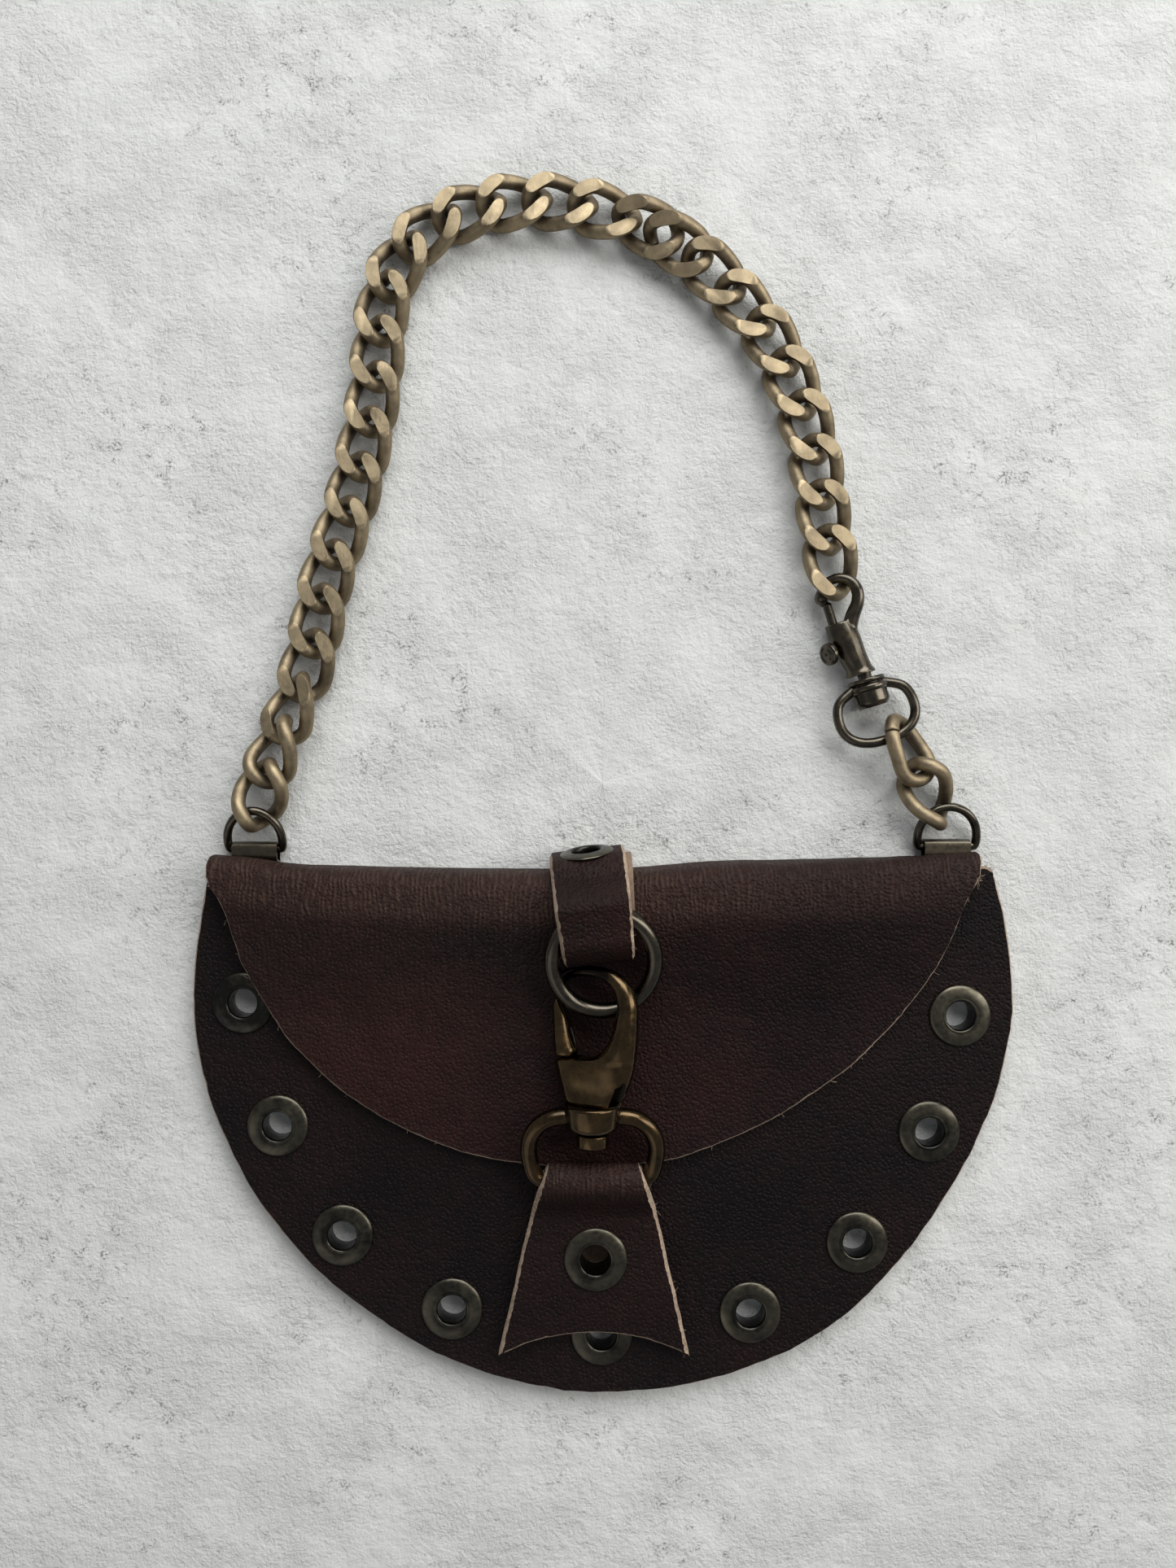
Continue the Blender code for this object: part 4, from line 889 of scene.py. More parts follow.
def arc_place(turn):
    """A place on the pouch's lower outline: an ellipse trimmed on both lower sides, most on the right."""
    right = turn > pi / 2
    down = pi - turn if right else turn
    low = down / (pi / 2)
    if right:
        trim = RIGHT_TRIM * (1 - smooth((low - RIGHT_TRIM_FADE[0]) / RIGHT_TRIM_FADE[1]))
    else:
        trim = LEFT_TRIM * (1 - (1 - LEFT_TRIM_KEPT) * smooth((low - LEFT_TRIM_FADE[0]) / LEFT_TRIM_FADE[1]))
    share = 1 - trim * sin(2 * down) / POUCH_HALF_WIDTH
    return (-POUCH_HALF_WIDTH * share * cos(turn), POUCH_WIDEST_Y - POUCH_DEPTH * share * sin(turn))


def pouch_outline(top_y):
    """The pouch's outline from its left side at top_y round the bottom to its right side."""
    left, right = [], []
    for y in np.linspace(top_y, POUCH_WIDEST_Y, 30)[:-1]:
        up = (y - POUCH_WIDEST_Y) / (FOLD_Y - POUCH_WIDEST_Y)
        left.append((centre_x(y) - half_width(y), y))
        right.append((centre_x(y) + half_width(y) + RIGHT_SHOULDER * up * up, y))
    return left + [arc_place(t) for t in np.linspace(0, pi, 240)] + right[::-1]


def flap_outline(top_left, top_right):
    return spline([tuple(top_left), *FLAP_EDGE[1:-1], tuple(top_right)], 480)[4:-4]


def flap_wave(x, y):
    """Slow swells of the flap's surface above where it rests."""
    return 0.35 + 0.35 * ripple(x, y, 26.0, 2.0) + 0.16 * ripple(x, y, 9.0, 3.0)


def rim_holes(bottom):
    """Holes through a panel under the rim eyelets."""
    half = LEATHER / 2
    return [((x, y, bottom(x, y) + half), (0, 0, 1), PANEL_HOLE_REACH) for x, y in rim_eyelet_places()]


def build_back():
    half = LEATHER / 2
    top_x = centre_x(FOLD_Y) + FLAP_HALF_WIDTH * np.linspace(-1, 1, BACK_COLUMNS)
    panel_top = [(x, roll_point(x, -90, half)[0]) for x in top_x]
    plan = patch(panel_top, pouch_outline(roll_end_y(0.0) - 1.0), PANEL_ROWS)
    panel = [[(x, y, back_bottom(x, y) + half) for x, y in row] for row in plan[:-1]]
    roll = []
    for angle in np.degrees(np.arcsin(np.linspace(-1, 1, ROLL_ROWS))):
        stretch = 90 * signed_power(angle / 90, 0.8)
        inset = ROLL_RIGHT_INSET * (stretch + 90) / 180
        row_x = top_x - inset * smooth((top_x - 55) / (POUCH_HALF_WIDTH - 60))
        roll.append([(x, *roll_point(x, stretch, half)) for x in row_x])
    flap_start = np.array(roll[-1])[:, :2]
    plan = patch(flap_start, flap_outline(flap_start[0], flap_start[-1]), FLAP_ROWS)[::-1]
    flap = [[(x, y, flap_top(x, y) - half) for x, y in row] for row in plan[1:]]
    grid = grain_up(np.array(panel + roll + flap), -5)
    wrinkled = len(panel) + 8

    def surface(i, x, y):
        if i < len(panel):
            return 0.0, UNDERSIDE_TONE, 0.0
        down = max(0.0, roll_end_y(x) - y)
        near = smooth(1 - abs(i - wrinkled) / 60) if i < wrinkled else 1.0
        lift = flap_wave(x, y) * smooth(down / 24.0) + 0.10 * ripple(x, y, 5.0, 8.0) * near
        tone = FLAP_TONE + FLAP_LEFT_TONE * smooth((-x + 5) / 60) * smooth(down / 40)
        tone += FLAP_RIGHT_TONE * smooth((x - 2) / 50)
        tone -= 0.10 * smooth((down - 4) / 8) * (1 - smooth((down - 12) / 18))
        for patch_x, patch_y, wide, tall, change in FLAP_PATCHES:
            tone += change * exp(-(((x - patch_x) / wide) ** 2) - ((y - patch_y) / tall) ** 2)
        # Crease share: the fold band is lighter from creased, stretched grain and painted highlight where
        # the roll turns up towards the light; the left of the flap gets a little too
        fold = (1 - smooth((down - 1.5) / 7.5)) * (0.95 - 0.35 * smooth((x + 10) / 60))
        return lift, tone, max(fold, 0.22 * (1 - smooth((down - 8) / 40)) * smooth(-x / 30 + 0.3))

    tone, crease_and_highlight = dressed(grid, grid_normals(grid), surface)
    holes = rim_holes(back_bottom) + [(*wall_frame(), 3.0)]
    leather_solid(
        "back_and_flap_leather", "back_panel_with_flap", grid, LEATHER, PANEL_CHAMFER, holes, tone, crease_and_highlight,
        PANEL_WOBBLE, BACK_FIBRES,
    )


def build_front():
    half = LEATHER / 2
    top = []
    for share in np.linspace(-1, 1, FRONT_COLUMNS):
        ear = smooth((abs(share) * POUCH_HALF_WIDTH - MOUTH_EAR_X) / 12.0)
        y = FRONT_MOUTH_Y + (MOUTH_EAR_Y - FRONT_MOUTH_Y) * ear
        top.append((centre_x(y) + half_width(y) * share, y))
    plan = patch(top, pouch_outline(MOUTH_EAR_Y - 1.0), PANEL_ROWS)
    grid = grain_up(np.array([[(x, y, front_bottom(x, y) + half) for x, y in row] for row in plan]), 40)

    def surface(_, x, y):
        inner = smooth(rim_distance(x, min(y, FRONT_MOUTH_Y)) / 9.0)
        lift = 0.10 * ripple(x, y, 17.0, 4.0) * inner * smooth((y + 135) / 20)
        tone = FRONT_TONE + 0.10 * ripple(x, y, 40.0, 6.0) + 0.05 * smooth(abs(x) / 90)
        return lift, tone, 0.05 + 0.05 * smooth((-y - 115) / 20)

    tone, crease_and_highlight = dressed(grid, np.broadcast_to((0.0, 0.0, 1.0), grid.shape), surface)
    level = front_bottom(TAB_EYELET_X, TAB_EYELET_Y) + half
    holes = rim_holes(front_bottom)
    holes.append(((TAB_EYELET_X, TAB_EYELET_Y, level), (0, 0, 1), PANEL_HOLE_REACH))
    leather_solid(
        "front_leather", "front_panel", grid, LEATHER, PANEL_CHAMFER, holes, tone, crease_and_highlight,
        PANEL_WOBBLE, FRONT_FIBRES,
    )


def outline_offset(line, distance):
    line = np.array(line)
    ahead = unit(np.gradient(line, axis=0))
    return line + distance * np.stack([ahead[:, 1], -ahead[:, 0]], 1)


def strap_frame():
    tilt = radians(STRAP_TILT)
    return (-sin(tilt), cos(tilt)), (cos(tilt), sin(tilt))


def ring_height(x, y):
    return RING_Z + RING_SLOPE * (y - RING_Y) + RING_CANT * x


def strap_under():
    sink = (STRAP_WIDTH / 2) * sin(radians(STRAP_TILT))
    line = [(STRAP_LOOP_Y + up, flap_top(0.0, STRAP_LOOP_Y + up)) for up in (3.5, 7.0, 10.0)]
    for angle in (90, 66, 44, 20, -8, -34):
        y, z = roll_point(0.0, angle, 0.0)
        line.append((y + sink, z))
    return line


def strap_course():
    """The strap's middle line: along it, its height, and how far it follows the ring's cant."""
    half = STRAP_LEATHER / 2
    under = strap_under()
    lower = outline_offset(under[::-1], GAP + 0.1 + half)[::-1]
    upper = outline_offset(under[::-1], 2 * GAP + 0.1 + 1.5 * STRAP_LEATHER)[::-1]
    clear = RING_WIRE / 2 + GAP + half
    course = [(q, z, 0.0) for q, z in lower[::-1]]
    loop_low = flap_top(0.0, STRAP_LOOP_Y + 1.0) + GAP + half + 0.2
    course += [
        (STRAP_LOOP_Y + 1.6, loop_low + 0.3, 0.0),
        (STRAP_LOOP_Y + 0.7, loop_low + 1.8, 0.3),
        (STRAP_LOOP_Y + 1.0, loop_low + 4.0, 0.7),
    ]
    for y in (STRAP_LOOP_Y + 4.0, STRAP_LOOP_Y + 7.5, STRAP_LOOP_Y + 11.0, STRAP_LOOP_Y + 14.0):
        height = ring_height(0.0, min(y, RING_Y + RING_RADIUS - 0.6))
        course.append((y, height + clear + 0.15, 1.0))
    course += [(q, z, 0.0) for q, z in upper][4:]
    return course


def edge_shares(width, chamfer, columns):
    """Places across a narrow strip, with room at its sides for the slanted edge."""
    rim = chamfer * 1.7 / width
    inner = np.linspace(-0.5 + rim, 0.5 - rim, columns - 2)
    return np.concatenate([[-0.5], inner, [0.5]])


def build_strap():
    along, across = strap_frame()
    grid = []
    for k, (q, z, cant) in enumerate(spline(strap_course(), STRAP_ROWS)):
        share = min(1.0, max(0.0, (q - STRAP_LOOP_Y) / STRAP_TAPER))
        aside = LOWER_LAYER_ASIDE * share * (1 - smooth((k - 40) / 20))
        width = STRAP_END_WIDTH + (STRAP_WIDTH - STRAP_END_WIDTH) * share
        reach = (q - STRAP_LOOP_Y) / along[1]
        row = []
        for s in edge_shares(width, STRAP_CHAMFER, STRAP_COLUMNS):
            x = STRAP_LOOP_X + aside + along[0] * reach + across[0] * width * s
            y = STRAP_LOOP_Y + along[1] * reach + across[1] * width * s
            row.append((x, y, z + RING_CANT * cant * across[0] * width * s))
        grid.append(row)
    grid = grain_up(np.array(grid), 90)

    def surface(i, x, y):
        sheer = smooth((i - 76) / 8.0) * (1 - smooth((i - 112) / 8.0))
        lift = (0.06 * ripple(x, y, 9.0, 9.0) + 0.01 * ripple(x * 0.5, y, 2.4, 9.5)) * sheer
        # The crease share rises where the strap runs over the roll: creasing and painted highlight on its
        # lit top
        return lift, STRAP_TONE + 0.10 * ripple(x, y, 12.0, 1.0), 0.10 + 0.25 * smooth((y + 22) / 4.0)

    tone, crease_and_highlight = dressed(grid, grid_normals(grid), surface)
    holes = [(*wall_frame(), 9.0)]
    leather_solid(
        "strap_leather", "closure_strap", grid, STRAP_LEATHER, STRAP_CHAMFER, holes, tone, crease_and_highlight,
        STRAP_WOBBLE, STRAP_FIBRES,
    )


def tab_layers():
    panel = front_bottom(TAB_EYELET_X, TAB_EYELET_Y)
    lower = panel + LEATHER + 2 * GAP
    return panel, lower, lower + STRAP_LEATHER + GAP


def tab_half_width(y):
    fold = EYE_BAR_Y + EYE_WIRE / 2 + GAP + STRAP_LEATHER
    share = max(0.0, (fold - y) / (fold - TAB_END_Y))
    return TAB_FOLD_HALF_WIDTH + (TAB_END_HALF_WIDTH - TAB_FOLD_HALF_WIDTH) * share**0.85


def tab_course():
    """The tab's middle line from its back end to its front end: y, height, share of its width."""
    _, lower, upper = tab_layers()
    half = STRAP_LEATHER / 2
    bend = EYE_WIRE / 2 + GAP + half
    course = [
        (TAB_BACK_END_Y, lower + half, 0.86),
        (TAB_EYELET_Y, lower + half, 0.86),
        (EYE_BAR_Y - 8.5, lower + half + 0.1, 0.88),
        (EYE_BAR_Y - 4.0, EYE_BAR_Z - bend - 0.8, 0.94),
    ]
    for turn in (-90, -55, -20, 15, 50, 85, 110, 135):
        angle = radians(turn)
        course.append((EYE_BAR_Y + bend * cos(angle), EYE_BAR_Z + bend * sin(angle), 1.0))
    course += [
        (EYE_BAR_Y - 4.6, EYE_BAR_Z - 0.9, 1.0),
        (EYE_BAR_Y - 8.6, upper + half + 0.3, 1.0),
        (TAB_EYELET_Y + 6.0, upper + half, 1.0),
        (TAB_EYELET_Y - 8.0, upper + half, 1.0),
        (TAB_END_Y, upper + half - 0.6, 1.0),
    ]
    return course


def build_tab():
    grid = []
    for i, (y, z, share) in enumerate(spline(tab_course(), TAB_ROWS)):
        row = []
        for s in edge_shares(2 * tab_half_width(y), TAB_CHAMFER, TAB_COLUMNS) * 2:
            hollow = TAB_HOLLOW * (1 - s * s) * smooth((i - 84) / 35)
            row.append((TAB_X + tab_half_width(y) * share * s, y + hollow, z))
        grid.append(row)
    grid = grain_up(np.array(grid), 100)

    def surface(i, x, y):
        corner = smooth((abs(x - TAB_X) - 14) / 8) * smooth((-y - 122) / 6)
        lift = (0.10 + 0.12 * ripple(x, y, 8.0, 12.0) + 0.35 * corner) * smooth((i - 66) / 10)
        # The upper layer round the eye's bar gets a high crease share: creasing and painted highlight on the
        # lit top of the fold
        crease_and_highlight = 0.06 + 0.55 * smooth((y + 94.5) / 3.0) * smooth((i - 30) / 10)
        return lift, TAB_TONE + 0.08 * ripple(x, y, 14.0, 7.0), crease_and_highlight

    tone, crease_and_highlight = dressed(grid, grid_normals(grid), surface)
    _, lower, upper = tab_layers()
    holes = [((TAB_EYELET_X, TAB_EYELET_Y, (lower + upper + STRAP_LEATHER) / 2), (0, 0, 1), 6.0)]
    leather_solid(
        "tab_leather", "tab", grid, STRAP_LEATHER, TAB_CHAMFER, holes, tone, crease_and_highlight, TAB_WOBBLE, TAB_FIBRES
    )


# Eyelets


def rim_eyelet_places():
    places = []
    for angle, share, _ in RIM_EYELETS:
        turn = radians(angle)
        x = -POUCH_HALF_WIDTH * share * cos(turn)
        places.append((x, POUCH_WIDEST_Y - POUCH_DEPTH * share * sin(turn)))
    return places


def wall_frame():
    """Place and outward direction of the strap's face on the roll's wall, where its eyelet sits."""
    along, _ = strap_frame()
    low = roll_point(0.0, -30, 0.0)
    high = roll_point(0.0, 30, 0.0)
    lean = atan2(low[0] - high[0], high[1] - low[1])
    middle = (low[1] + high[1]) / 2
    reach = ((low[0] + high[0]) / 2 - STRAP_LOOP_Y) / along[1]
    place = (STRAP_LOOP_X + along[0] * reach, STRAP_LOOP_Y + along[1] * reach, middle)
    return place, (along[0] * cos(lean), along[1] * cos(lean), sin(lean))


def build_eyelet(node, lay, bottom, over, face, back, seed, tone=0.0):
    """A turned eyelet: domed face with a raised lip at its hole, tube, and a rolled flange behind."""
    hole = EYELET_HOLE_RADIUS
    crown = EYELET_FLANGE
    profile = [
        (face - 0.05, over), (face, over + 0.14), (face - 0.10, over + 0.30),
        (face - 0.34, over + 0.46), (face - 0.75, over + crown * 0.68),
        (face - 1.35, over + crown * 0.84), (face - 2.00, over + crown * 0.92),
        (hole + 1.25, over + crown * 0.94), (hole + 0.95, over + crown * 0.90),
        (hole + 0.78, over + crown * 0.88), (hole + 0.60, over + crown * 0.95),
        (hole + 0.38, over + crown * 0.92), (hole + 0.16, over + crown * 0.70),
        (hole + 0.03, over + crown * 0.35), (hole, over - 0.1), (hole, (over + bottom) / 2),
        (hole, bottom + 0.35), (hole + 0.18, bottom + 0.05), (hole + 0.5, bottom),
        (back - 0.35, bottom + 0.02), (back - 0.05, bottom + 0.16), (back - 0.05, bottom + 0.42),
        (back - 0.3, bottom + 0.60), (hole + 0.75, bottom + 0.62), (hole + 0.62, bottom + 0.9),
        (hole + 0.62, over - 0.05), (hole + 1.0, over),
    ]
    points, faces = revolve(profile, 72)
    radius = np.hypot(points[:, 0], points[:, 1])
    lip = bell(radius, hole + EYELET_LIP, 0.3) + 0.8 * bell(radius, face - 0.25, 0.25)
    groove = bell(radius, hole + EYELET_GROOVE, 0.22)
    shade = np.array([ripple(x, y, 5.0, seed) for x, y, _ in points])
    worn = 0.05 * lip - 0.16 * groove + 0.14 * shade + tone
    worn -= 0.22 * smooth((hole + 0.9 - radius) / 0.6)
    worn = np.where(radius < hole + 0.05, -0.35, worn)
    name = node.replace("eyelet", "eyelet_ring")
    metal_piece(name, (moved(points, lay), faces), GUNMETAL, node, worn)


def build_eyelets():
    over = RIM_LIFT + 2 * LEATHER + 2 * GAP
    for number, (x, y) in enumerate(rim_eyelet_places(), 1):
        lay = at((x, y, 0.0)) @ Matrix.Rotation(number * 1.3, 4, "Z")
        tone = RIM_EYELETS[number - 1][2]
        build_eyelet(f"rim_eyelet_{number}", lay, 0.0, over, EYELET_RADIUS, EYELET_BACK_RADIUS, number, tone)
    place, outward = wall_frame()
    sink = (STRAP_WIDTH / 2) * sin(radians(STRAP_TILT))
    over = sink + 3 * GAP + 0.1 + 2 * STRAP_LEATHER + 0.4
    lay = pointing(Vector(outward) + Vector(STRAP_EYELET_LEAN), Vector(place) + Vector(STRAP_EYELET_MOVE))
    build_eyelet("strap_eyelet", lay, -LEATHER - 1.7, over - 0.1, STRAP_FACE_RADIUS, 4.7, 11)
    panel, _, upper = tab_layers()
    lay = at((TAB_EYELET_X, TAB_EYELET_Y, 0.0))
    over = upper + STRAP_LEATHER + GAP
    build_eyelet("tab_eyelet", lay, panel - GAP - 0.7, over, EYELET_RADIUS + 0.15, 4.6, 4.6)


# Ring, clasp and eye


def metal_wear(points, size, up_share=0.12, seed=0.0):
    """Rubbed places of a casting: patchy, and brighter the higher they are."""
    points = np.array(points)
    low, high = points[:, 2].min(), points[:, 2].max()
    rise = (points[:, 2] - low) / max(high - low, 1e-6)
    patchy = np.array([noise.noise(Vector(p) / size + Vector((seed, 0, 0))) for p in points])
    return 0.13 * patchy + up_share * (rise - 0.5)


def build_ring():
    turns = 2 * pi * np.arange(120) / 120
    xs = RING_RADIUS_SEEN * np.cos(turns)
    ys = RING_Y + RING_RADIUS_SEEN * np.sin(turns)
    course = np.stack([xs, ys, ring_height(xs, ys)], 1)
    mesh = sweep(course, RING_WIRE_SEEN / 2, 32, True)
    metal_piece("o_ring_wire", mesh, PEWTER, "o_ring", metal_wear(mesh[0], 4.0) + 0.05)


# Hook's arm from the body to its nose: across from the axis, y, radius
HOOK_COURSE = (
    (7.7, -57.0, 2.5), (8.2, -54.0, 2.5), (8.45, -51.0, 2.4), (8.35, -48.0, 2.3), (7.25, -45.0, 2.0),
    (5.0, -42.9, 1.65), (1.8, -41.8, 1.35), (-3.0, -41.8, 1.2), (-6.4, -42.9, 1.2), (-8.3, -44.7, 1.2),
    (-8.75, -46.0, 1.2),
)
# Body, and the arm's root above its hollow: y, left and right edge across from the axis, half thickness
BODY_ROWS = (
    (-71.0, -6.0, 6.6, 3.3), (-70.2, -6.6, 7.1, 3.5), (-68.0, -7.5, 8.0, 3.2), (-65.0, -8.5, 9.2, 3.3),
    (-62.8, -9.0, 9.9, 3.3), (-61.5, -9.15, 10.1, 3.25), (-61.0, -7.4, 10.2, 3.2),
    (-60.7, -2.6, 10.3, 3.2), (-60.2, 0.4, 10.4, 3.15), (-59.0, 2.4, 10.5, 3.1),
    (-57.4, 3.7, 10.65, 3.0), (-55.2, 4.8, 10.75, 2.8), (-52.6, 5.6, 10.85, 2.6),
    (-50.4, 6.0, 10.8, 2.45),
)
# Gate lever, with the columns of the body
GATE_ROWS = (
    (-48.5, -9.4, -8.5, 0.5), (-49.3, -9.7, -7.8, 0.9), (-51.6, -9.75, -6.7, 1.3),
    (-55.1, -9.55, -5.6, 1.9), (-57.6, -9.4, -4.6, 2.35), (-59.2, -9.2, -3.9, 2.6),
    (-60.2, -9.05, -4.1, 2.6), (-60.65, -8.8, -4.5, 2.1), (-61.0, -8.6, -4.9, 1.4),
    (-61.6, -8.1, -5.2, 1.4), (-62.1, -7.4, -5.9, 0.9),
)
# Where the lever's foot goes into the body, and the window in the body's side: across from the axis, y
FOOT_POCKET = ((-11.5, -60.3), (-3.0, -60.3), (-3.0, -62.9), (-11.5, -62.9))
FOOT_POCKET_DEPTH = 1.7
SIDE_WINDOW = ((6.6, -66.2), (8.5, -65.2), (8.0, -68.2), (6.7, -70.1), (5.0, -70.5))
SIDE_WINDOW_Z = (0.2, 5.5)
SPRING_LEAF = ((-5.2, -54.6, 0.3), (-4.5, -56.9, 0.3), (-3.9, -58.6, 0.3), (-4.3, -59.6, 0.3))
SPRING_LEAF_RADIUS = 0.28


def rows_shell(table, count, sides=40, square=True):
    """A closed shell over rows of a y, a left and a right edge and half a thickness.

    Wide rows of a square shell have flatter tops.
    """
    rows = spline(table, count)
    points = []
    for y, left, right, half in rows:
        flat = 0.95 - 0.38 * smooth(((right - left) / (2 * half) - 1.0) / 1.2) if square else 1.0
        for k in range(sides):
            turn = 2 * pi * k / sides
            across = signed_power(cos(turn), flat)
            up = signed_power(sin(turn), 0.9 if square else 1.0)
            points.append(((left + right) / 2 + (right - left) / 2 * across, y, half * up))
    return np.array(points), tube_faces(len(rows), sides, False)


def hook_arm(course, sides):
    """A hook's arm through rows of a place across, a place along and a radius."""
    x, y, radius = spline(course, 80).T
    return sweep(np.stack([x, y, 0 * x], 1), radius, sides)


def build_clasp():
    lay = at((CLASP_X, 0.0, CLASP_Z)) @ turned(-CLASP_ROLL, "Y")
    casting = fused([rows_shell(BODY_ROWS, 90), hook_arm(HOOK_COURSE, 28)], CLASP_VOXEL, CLASP_SOFTENING)
    casting = cut_away(casting, SIDE_WINDOW, *SIDE_WINDOW_Z)
    casting = cut_away(casting, FOOT_POCKET, -FOOT_POCKET_DEPTH, FOOT_POCKET_DEPTH)
    low, high = -CLASP_BUTTON_Y[0], -CLASP_BUTTON_Y[1]
    pin_end = -COLLAR_Y[1] - 1.6
    wide, pin = CLASP_BUTTON_RADIUS, CLASP_PIN_RADIUS
    button = ((0.3, low), (wide, low), (wide, high), (pin, high), (pin, pin_end), (0.3, pin_end))
    points, faces = joined(casting, lathe(button, 0.35, 40, turned(90, "X")))
    worn = metal_wear(points, 3.2, 0.30, 2.0)
    # Painted shade: the arm's bend round the ring and its nose, which lie in the shadow of the strap and
    # ring, and the walls inside the side window are darkened
    x, y, z = points.T
    shaded_arch = smooth((y + 47.0) / 4.0) * smooth((6.5 - x) / 5.0)
    shaded_nose = smooth((-4.0 - x) / 2.0) * smooth((y + 56.0) / 4.0)
    shaded_window = smooth((x - 4.4) / 0.5) * smooth((-64.9 - y) / 0.4)
    shaded_window *= smooth((2.3 - z) / 0.4) * smooth(z / 0.2)
    shaded_window *= smooth((8.7 - x + np.minimum(y + 66.0, 0.0) * 0.4) / 0.4)
    worn -= 0.9 * np.maximum(np.maximum(shaded_arch, shaded_nose), shaded_window)
    metal_piece("clasp_hook_casting", (moved(points, lay), faces), BRASS, "clasp_hook", worn)
    lever = rows_shell(GATE_ROWS, 50, 32)
    leaf = sweep(SPRING_LEAF, SPRING_LEAF_RADIUS, 10)
    worn = np.concatenate([metal_wear(lever[0], 3.2, 0.30, 2.0), np.full(len(leaf[0]), -0.25)])
    points, faces = joined(lever, leaf)
    metal_piece("clasp_gate_lever", (moved(points, lay), faces), BRASS, "clasp_gate", worn, "clasp_gate")
    low, high = -COLLAR_Y[0], -COLLAR_Y[1]
    wide, bore = COLLAR_RADIUS, CLASP_PIN_RADIUS + 0.3
    collar = ((bore, low), (wide - 0.9, low), (wide - 0.3, low - 0.9))
    collar += ((wide + 0.15, high + 0.5), (wide, high), (bore, high))
    collar = lathe(collar, 0.3, 64, at((CLASP_X, 0.0, CLASP_Z)) @ turned(90, "X"))
    middle = (COLLAR_Y[0] + COLLAR_Y[1]) / 2
    bend = (middle - EYE_BAR_Y) / 2
    side = [(-CLASP_PIN_RADIUS - 2.6, middle), (-EYE_HALF_WIDTH + bend, middle)]
    for k in range(1, 5):
        turn = radians(90 + 22.5 * k)
        side.append((-EYE_HALF_WIDTH + bend + bend * cos(turn), middle - bend + bend * sin(turn)))
    side += [
        (-EYE_HALF_WIDTH + 0.3, EYE_BAR_Y + 4.4),
        (-EYE_HALF_WIDTH + 1.1, EYE_BAR_Y + 1.6),
        (-EYE_HALF_WIDTH + 2.9, EYE_BAR_Y + 0.1),
        (-EYE_HALF_WIDTH + 5.6, EYE_BAR_Y),
    ]
    side = side + [(-x, y) for x, y in side[::-1]]
    drop = (CLASP_Z - EYE_BAR_Z) / (middle - EYE_BAR_Y)
    loop = spline([(CLASP_X + x, y, CLASP_Z - drop * (middle - y)) for x, y in side], 130)
    mesh = joined(collar, sweep(loop, EYE_WIRE / 2, 26))
    metal_piece("clasp_eye_casting", mesh, BRASS, "clasp_eye", metal_wear(mesh[0], 3.2, 0.10, 7.0))


# D-rings and clips


def build_d_rings():
    for name, x, y, width, clip, tilt in D_RINGS:
        half = (width - D_WIRE) / 2
        course = [(1.0 - half, 0.0), (0.0, 0.0), (half - 1.0, 0.0), (half - 0.15, 0.5)]
        for angle in range(0, 181, 15):
            turn = radians(angle)
            course.append((half * cos(turn), D_LEG + (D_HEIGHT - D_LEG) * sin(turn)))
        course.append((0.15 - half, 0.5))
        course = spline([(along, up, 0.0) for along, up in course], 110, True)
        lay = at((x, y, D_BAR_Z)) @ turned(tilt, "X")
        points, faces = sweep(course, D_WIRE / 2, 20, True)
        points = moved(points, lay)
        worn = metal_wear(points, 3.0)
        metal_piece(f"d_ring_wire_{name}", (points, faces), DARK, f"d_ring_{name}", worn)
        bend = D_WIRE / 2 + GAP + CLIP_SHEET / 2
        high = D_BAR_Z + bend
        course = [(-CLIP_TAIL, CLIP_SHEET / 2), (-1.0, CLIP_SHEET / 2)]
        course += [(bend * cos(radians(a)), D_BAR_Z + bend * sin(radians(a))) for a in range(-60, 41, 20)]
        course += [(0.95, high - 0.12), (0.5, high), (-0.6, high), (-1.7, high), (-2.3, high - 0.2)]
        course += [(-2.75, high - 0.9), (-2.9, 1.3), (-3.4, 0.8), (-CLIP_TAIL, 0.75)]
        line = spline([(y + along, z) for along, z in course], 70)
        ahead = unit(np.gradient(line, axis=0))
        out = np.stack([ahead[:, 1], -ahead[:, 0]], 1) * CLIP_SHEET / 2
        loop = np.concatenate([line + out, (line - out)[::-1]])
        count = len(loop)
        points = [(x + clip * share, q, z) for share in CLIP_ROWS for q, z in loop]
        faces = tube_faces(len(CLIP_ROWS), count, False)[:-2]
        for base in (0, (len(CLIP_ROWS) - 1) * count):
            for k in range(len(line) - 1):
                far = base + count - 1 - k
                faces.append((base + k, base + k + 1, far - 1, far))
        worn = metal_wear(points, 5.0) + 0.25
        metal_piece(f"clip_plate_{name}", (points, faces), DARK, f"d_ring_clip_{name}", worn)


# Chain


def chain_places():
    """Centre and heading of every link of the wrist chain."""
    points = [Vector((x, y, 0.0)) for x, y in CHAIN_COURSE]
    points = [points[0] * 2 - points[1]] + points + [points[-1] * 2 - points[-2]]
    line = np.array(smooth_line(points, 24))
    steps = np.concatenate([[0.0], np.cumsum(np.linalg.norm(np.diff(line, axis=0), axis=1))])
    taut = LINK_LENGTH - 2 * LINK_WIRE
    count = round((steps[-1] + DRAWN_BY) / (taut - LINK_SLACK)) + 1
    pitch = (steps[-1] + DRAWN_BY) / (count - 1)

    def on_course(s):
        return np.array([np.interp(s, steps, column) for column in line.T[:2]])

    places = []
    for i in range(count):
        s = pitch * i - (DRAWN_BY if i + 1 >= DRAWN_LINK else 0.0)
        ahead = on_course(min(steps[-1], s + pitch / 2)) - on_course(max(0.0, s - pitch / 2))
        places.append((on_course(s), degrees(atan2(ahead[1], ahead[0]))))
    return places


